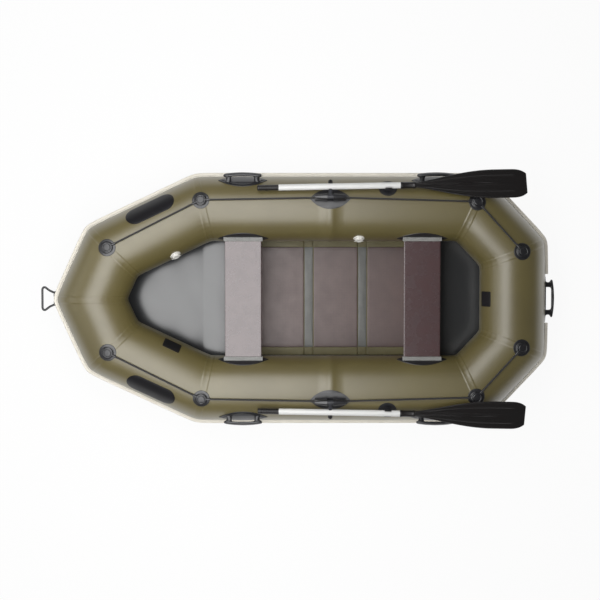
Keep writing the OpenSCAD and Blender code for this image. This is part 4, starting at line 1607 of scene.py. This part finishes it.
@dataclass
class Lifeline:
    """One side's rope and the four moulded fixings that hold it."""

    side: Side
    rope_r: float = 0.005
    lift: float = 0.1829
    corner_turns: tuple[float, ...] = (0.0, 10.0, 13.0, 10.0, 8.0)
    rowlock_xs: tuple[float, float] = (-0.0625, -0.2815)
    rowlock_turn: float = 16.517
    base_r: float = 0.046
    base_t: float = 0.003
    cap_r: float = 0.030
    cap_h: float = 0.015
    strand_pitch: float = 0.022
    route_step: float = 2.4 * MM
    sleeve_r: float = 0.0078
    sleeve_l: float = 0.052

    def _route(self) -> np.ndarray:
        """Returns the rope's line: straight lengths between its holds, eased at each."""
        holds = [
            RING.over_corner(1, self.lift, self.corner_turns[1]),
            RING.over_corner(2, self.lift, self.corner_turns[2]),
            RING.over_side(self.rowlock_xs[0], self.lift, self.rowlock_turn),
            RING.over_side(self.rowlock_xs[1], self.lift, self.rowlock_turn),
            RING.over_corner(3, self.lift, self.corner_turns[3]),
            RING.over_corner(4, self.lift, self.corner_turns[4]),
        ]
        line = np.array(holds)
        return smoothed(placed_along(line, np.arange(0, distances(line)[-1], self.route_step)), 9)

    def rope(self) -> bpy.types.Object:
        """Makes the braided rope.

        Its radius at angle a and distance s is r (0.84 + 0.16 m), where m is the higher of
        cos^2(2a + ks) and cos^2(2a - ks), the strands that cross each way.
        """
        path = self._route()
        angle = np.linspace(0, 2 * math.pi, 20, endpoint=False)
        twist = 2 * math.pi * distances(path)[:, None] / self.strand_pitch
        strands = np.maximum(np.cos(2 * angle + twist) ** 2, np.cos(2 * angle - twist) ** 2)
        radius = self.rope_r * (0.84 + 0.16 * strands)
        rope = Shell(carried(path, radius[..., None] * circle(20), UP))
        return side_piece(self.side, "braided_lifeline", [rope], "lifeline", sharp=80)

    def _height(self, k: int, place: Place, flat: np.ndarray, radius: float) -> np.ndarray:
        """Returns how high the two tubes that meet at a corner stand over a flat plane.

        A line along the place's Z from (x, y) meets a tube with way d at height h, where the
        part of the point square to d is as long as the radius. The tube before the mitre
        counts for x below zero, and the tube after it above.
        """
        q = flat[..., :1] * place.axes[0] + flat[..., 1:2] * place.axes[1]
        heights = []
        for way in (RING.run_in(k), RING.run_out(k)):
            w = q - (q @ way)[..., None] * way
            u = place.axes[2] - (place.axes[2] @ way) * way
            a, b, c = u @ u, w @ u, (w * w).sum(-1)
            heights.append((-b + np.sqrt(b * b - a * (c - radius**2))) / a)
        return np.where(flat[..., 0] < 0, heights[0], heights[1])

    def _fixing(self, k: int) -> list[Shell]:
        """Returns the base, the cap and the rope's sleeves of the fixing on corner k."""
        crest = RING.over_corner(k, RING.tube_r, self.corner_turns[k])
        up = unit(crest - RING.corner(k))
        along = RING.run_in(k) + RING.run_out(k)
        along = unit(along - (along @ up) * up)
        place = Place(RING.corner(k), np.stack([along, np.cross(up, along), up]))
        disc = slab(ellipse(2 * self.base_r, 2 * self.base_r, 72), -1.5 * MM, self.base_t, 1.8 * MM)
        disc[..., 2] += self._height(k, place, disc[..., :2], RING.tube_r)
        r, h, z = self.cap_r, self.cap_h, RING.tube_r
        cap = turned_part(
            [
                (r * 1.12, z - 8 * MM), (r * 1.12, z + 3.2 * MM), (r * 1.02, z + 4.6 * MM),
                (r, z + h * 0.62), (r * 0.97, z + h * 0.78), (r * 0.90, z + h * 0.86),
                (r * 0.80, z + h * 0.88), (r * 0.76, z + h * 0.80), (r * 0.68, z + h * 0.78),
                (r * 0.62, z + h * 0.84), (r * 0.56, z + h * 0.97), (r * 0.4, z + h * 1.0),
                (r * 0.1, z + h * 1.0),
            ],
            64,
        )
        shells = [Shell(place.put(disc)), Shell(place.put(cap))]
        hold = RING.over_corner(k, self.lift, self.corner_turns[k])
        ends = {1: (1,), 4: (-1,)}.get(k, (-1, 1))
        route = self._route()
        nearest = int(np.argmin(np.linalg.norm(route - hold, axis=1)))
        count = int(self.sleeve_l / self.route_step)
        for way in ends:
            ahead, behind = route[nearest : nearest + count], route[nearest - count : nearest]
            path = ahead if way > 0 else behind[::-1]
            share = np.linspace(0, 1, len(path))
            radius = (self.sleeve_r * (1 - 0.22 * share**2))[:, None, None]
            shells.append(Shell(carried(path, radius * circle(24), UP)))
        return shells

    def fixings(self) -> bpy.types.Object:
        """Makes the four fixings."""
        shells = [shell for k in (1, 2, 3, 4) for shell in self._fixing(k)]
        return side_piece(self.side, "lifeline_fixings", shells, "rope_fixings")

    def build(self) -> None:
        """Makes the rope and its fixings and dresses them."""
        ROPE.dress(self.rope())
        MOULDED.dress(self.fixings())


# ---- bow, stern and small fittings ----


@dataclass
class TowRing:
    """The hinged ring at the bow, its bracket and its pin."""

    pin: tuple[float, float, float] = (1.326087, 0.0, 0.205949)
    neck: float = 0.076
    wide: float = 0.134
    reach: float = 0.076
    bar_r: float = 0.006
    eye_r: float = 0.008
    pin_r: float = 0.004

    def ring(self) -> bpy.types.Object:
        """Makes the ring: a round bar bent outwards from two eyes to a wide outer length."""
        place = Place(np.array(self.pin))
        inset = self.bar_r
        half = [
            [0.004, self.neck / 2 - inset], [self.reach * 0.4, self.neck / 2 + 0.006],
            [self.reach - 0.022, self.wide / 2 - inset + 0.001],
            [self.reach - 0.012, self.wide / 2 - inset + 0.001],
            [self.reach - inset, self.wide / 2 - 0.014],
            [self.reach - inset, 0.02],
        ]
        port = np.array(half)
        line = np.vstack([port, port[::-1] * [1, -1]])
        smooth = smoothed(placed_along(line, np.linspace(0, distances(line)[-1], 181)), 13)
        path = np.concatenate([smooth, np.zeros((len(smooth), 1))], 1)
        shells = [Shell(place.put(carried(path, self.bar_r * circle(20), UP)))]
        r, w, bore = self.eye_r, self.bar_r, self.pin_r + 0.08 * MM
        outline = [
            (bore, -w), (r - 1 * MM, -w), (r, 1 * MM - w), (r, w - 1 * MM),
            (r - 1 * MM, w), (bore, w), (bore, -w),
        ]
        for sign in (-1, 1):
            eye = turned_part(outline, 40)[..., [0, 2, 1]]
            at_y = sign * (self.neck / 2 - self.bar_r)
            shells.append(Shell(place.put(eye + [0, at_y, 0]), False, False))
        return make_piece("bow_towing_ring", shells, "towing_ring", ["tow_ring"])

    def build(self) -> None:
        """Makes the ring and dresses it, its bracket and its pin."""
        MOULDED.dress(self.ring(), softened("bow_ring_bracket", "tow_bracket"))
        pin = bpy.data.objects["tow_pin"]
        STEEL.dress(pin)
        LOG.info("tow_pin: CAD node kept, dressed")


@dataclass
class SmallFittings:
    """The stern handle, the valves, the bare badges and the bare plates."""

    stern_out: float = 0.0525
    valve_r: float = 0.030
    valve_h: float = 0.016
    valve_fore: tuple[float, float] = (0.247, -66.0)
    valve_aft: tuple[float, float] = (-0.329, -67.0)
    badge: tuple[float, float] = (0.279, 0.112)
    badge_at: tuple[float, float] = (0.262, 43.0)
    fore_plate: tuple[float, float] = (0.098, 0.070)
    fore_plate_at: tuple[float, float] = (0.261, -55.0)
    stern_plate: tuple[float, float] = (0.082, 0.084)
    stern_plate_turn: float = -63.0
    thin: float = 0.0015

    def _valve(self, place: Place) -> list[Shell]:
        """Returns a valve: a flange, a screwed body and a cap with ten finger scallops."""
        r, h, z = self.valve_r, self.valve_h, RING.tube_r
        flange = turned_part(
            [(r * 0.7, z - 6 * MM), (r, z - 4 * MM), (r, z + 1.6 * MM), (r * 0.97, z + 2.8 * MM),
             (r * 0.86, z + 3.2 * MM), (r * 0.5, z + 3.2 * MM)], 64,
        )
        cap = turned_part(
            [(r * 0.74, z + 1 * MM), (r * 0.74, z + h * 0.3), (r * 0.72, z + h * 0.36),
             (r * 0.72, z + h * 0.72), (r * 0.69, z + h * 0.9), (r * 0.60, z + h),
             (r * 0.46, z + h), (r * 0.42, z + h * 0.9), (r * 0.2, z + h * 0.86),
             (r * 0.03, z + h * 0.86)], 80,
        )
        angle = np.arctan2(cap[..., 1], cap[..., 0])
        scallop = 1 - 0.05 * (0.5 + 0.5 * np.cos(10 * angle)) ** 2
        grip = (np.hypot(cap[..., 0], cap[..., 1]) > 0.55 * r) & (cap[..., 2] > z + h * 0.33)
        cap[..., :2] *= np.where(grip, scallop, 1.0)[..., None]
        tether = carried(
            np.stack([np.linspace(-0.9, 0.9, 21) * r, np.full(21, r * 0.9),
                      z + 4 * MM + 3 * MM * np.cos(np.linspace(-1.4, 1.4, 21))], -1),
            1.6 * MM * ellipse(2, 1.4, 12), UP,
        )
        return [Shell(place.put(g)) for g in (flange, cap, tether)]

    def _on_skin(self, outline: np.ndarray, place: Place) -> list[Shell]:
        """Returns a thin plate that hugs the tube, with a slightly raised inner field."""
        base = slab(outline, -1 * MM, self.thin, 0.7 * MM)
        inner = slab(outline * 0.93, -1 * MM, self.thin + 0.4 * MM, 0.5 * MM)
        return [Shell(place.put(hug(g, RING.tube_r))) for g in (base, inner)]

    def build(self) -> None:
        """Makes the fittings and dresses them."""
        stern = handle_shells(RING.on_tube(4, RING.stern_half, 90.0), self.stern_out)
        MOULDED.dress(make_piece("stern_carry_handle", stern, replaces=["stern_handle"]))
        along, turn = self.valve_fore
        fore = self._valve(RING.on_tube(1, RING.length(1) - along, turn))
        aft = self._valve(RING.on_tube(2, RING.knee_x - self.valve_aft[0], self.valve_aft[1]))
        VALVE_WHITE.dress(
            make_piece("fore_air_valve", fore, replaces=["valve_fore"], mirrored=True),
            make_piece("aft_air_valve", aft, replaces=["valve_aft"], mirrored=True),
        )
        along, turn = self.badge_at
        place = RING.on_tube(1, RING.length(1) - along, turn)
        shells = both_sides(self._on_skin(oval(*self.badge), place))
        BADGE.dress(make_piece("bare_bow_badges", shells, replaces=["badges"]))
        along, turn = self.fore_plate_at
        shells = self._on_skin(
            spread(round_rect(*self.fore_plate, 6 * MM), 96),
            RING.on_tube(1, RING.length(1) - along, turn),
        )
        shells += self._on_skin(
            spread(round_rect(*self.stern_plate, 6 * MM), 96),
            RING.on_tube(4, RING.stern_half, self.stern_plate_turn),
        )
        PLATE.dress(make_piece("bare_plates", shells, replaces=["blank_plates"]))


# ---- studio ----


def stand(thing: bpy.types.Object, at: np.ndarray, right: np.ndarray, back: np.ndarray) -> None:
    """Places a camera or a lamp.

    Args:
        thing: The camera or lamp.
        at: Its place.
        right: The way its right side points.
        back: The way its back points; it looks the other way.
    """
    matrix = np.eye(4)
    matrix[:3] = np.stack([right, np.cross(back, right), back, at], 1)
    thing.matrix_world = Matrix(matrix.tolist())


@dataclass
class Studio:
    """The camera, the lamps, the world and the pale floor."""

    camera_at: tuple[float, float, float] = (-0.010, -0.300, 7.18)
    look_at: tuple[float, float, float] = (-0.010, 0.0088, 0.1805)
    span: float = 3.288
    world_light: float = 0.22
    world_gloss: float = 0.06
    floor_half: float = 40.0
    floor_drop: float = 0.8 * MM
    floor_white: float = 0.93

    def camera(self) -> None:
        """Makes the camera, over the boat, with the bow to the left of its view."""
        place, target = np.array(self.camera_at), np.array(self.look_at)
        back = unit(place - target)
        right = unit(np.cross([0, -1.0, 0], back))
        data = bpy.data.cameras.new("camera")
        data.sensor_width = 36.0
        data.lens = 36.0 * float(np.linalg.norm(place - target)) / self.span
        camera = bpy.data.objects.new("camera", data)
        bpy.context.scene.collection.objects.link(camera)
        stand(camera, place, right, back)
        bpy.context.scene.camera = camera

    def softbox(
        self,
        name: str,
        at: tuple[float, float, float],
        towards: tuple[float, float, float],
        size: tuple[float, float],
        radiance: float,
        in_gloss: bool = True,
    ) -> None:
        """Adds a soft lamp of an even radiance, which the camera doesn't see.

        Args:
            name: Its name.
            at: Its middle.
            towards: The point that it faces.
            size: Its width and length.
            radiance: The light it sends from each point; 1 is a white card in full light.
            in_gloss: Whether reflections show it.
        """
        data = bpy.data.lights.new(name, "AREA")
        data.shape = "RECTANGLE"
        data.size, data.size_y = size
        data.energy = radiance * math.pi * size[0] * size[1]
        lamp = bpy.data.objects.new(name, data)
        bpy.context.scene.collection.objects.link(lamp)
        back = unit(np.array(at) - np.array(towards))
        hint = np.array([0, 1.0, 0]) if abs(back[1]) < 0.9 else np.array([1.0, 0, 0])
        stand(lamp, np.array(at), unit(np.cross(hint, back)), back)
        lamp.visible_camera = False
        lamp.visible_glossy = in_gloss

    def world(self) -> None:
        """Makes the even grey world, which is darker in gloss, as a studio's far walls are."""
        world = bpy.data.worlds.new("studio")
        world.use_nodes = True
        tree = world.node_tree
        tree.nodes.clear()
        gloss = add_node(tree, "ShaderNodeLightPath").outputs["Is Glossy Ray"]
        strength = ranged(tree, gloss, (self.world_light, self.world_gloss))
        sockets = {"Color": linear("FFFFFF"), "Strength": strength}
        shader = signal(tree, "ShaderNodeBackground", sockets)
        add_node(tree, "ShaderNodeOutputWorld", {"Surface": shader})
        bpy.context.scene.world = world

    def floor(self) -> None:
        """Makes the pale floor: it shows white to the camera and in gloss, with its shadow.

        A small part of what the camera sees is the floor's own shaded paint, the rest white.
        """
        half, low = self.floor_half, -self.floor_drop
        corners = [(-half, -half, low), (half, -half, low), (half, half, low), (-half, half, low)]
        mesh = bpy.data.meshes.new("studio_floor")
        mesh.from_pydata(corners, [], [(0, 1, 2, 3)])
        floor = bpy.data.objects.new("studio_floor", mesh)
        bpy.context.scene.collection.objects.link(floor)
        material = bpy.data.materials.new("matt white studio floor paint")
        material.use_nodes = True
        tree = material.node_tree
        tree.nodes.clear()
        paint = signal(tree, "ShaderNodeBsdfDiffuse", {"Color": linear("F2F2F2")})
        white = signal(tree, "ShaderNodeEmission", {"Color": linear("FFFFFF"), "Strength": 1.0})
        ray = add_node(tree, "ShaderNodeLightPath")
        seen = ray.outputs["Is Camera Ray"]
        for kind in ("Is Glossy Ray", "Is Transmission Ray"):
            sockets = {0: seen, 1: ray.outputs[kind]}
            seen = signal(tree, "ShaderNodeMath", sockets, operation="MAXIMUM")
        sockets = {0: seen, 1: self.floor_white}
        share = signal(tree, "ShaderNodeMath", sockets, operation="MULTIPLY")
        mixed = signal(tree, "ShaderNodeMixShader", {0: share, 1: paint, 2: white})
        add_node(tree, "ShaderNodeOutputMaterial", {"Surface": mixed})
        mesh.materials.append(material)

    def lamps(self) -> None:
        """Adds the lamps: a bright box over the bow and two dim ones for the flanks."""
        self.softbox("key_box", (0.70, 0.0, 2.7), (0.70, 0.0, 0.0), (2.12, 4.8), 2.9)
        self.softbox("bow_box", (4.6, 0.0, 2.6), (0.4, 0.0, 0.2), (2.4, 4.0), 0.9)
        self.softbox("stern_box", (-4.8, 0.0, 3.4), (-0.8, 0.0, 0.2), (2.4, 4.0), 0.9, False)

    def build(self) -> None:
        """Makes the stage."""
        self.camera()
        self.lamps()
        self.world()
        self.floor()


def main() -> None:
    """Builds the looks in order and reports each piece."""
    logging.basicConfig(level=logging.INFO, format="%(name)s: %(message)s")
    bpy.context.scene.view_settings.view_transform = "Standard"
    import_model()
    Studio().build()
    Hull().build()
    Floor().build()
    Seats().build()
    for side in Side:
        Oar(side).build()
        SideFittings(side).build()
        Lifeline(side).build()
    TowRing().build()
    SmallFittings().build()


if __name__ == "__main__":
    main()
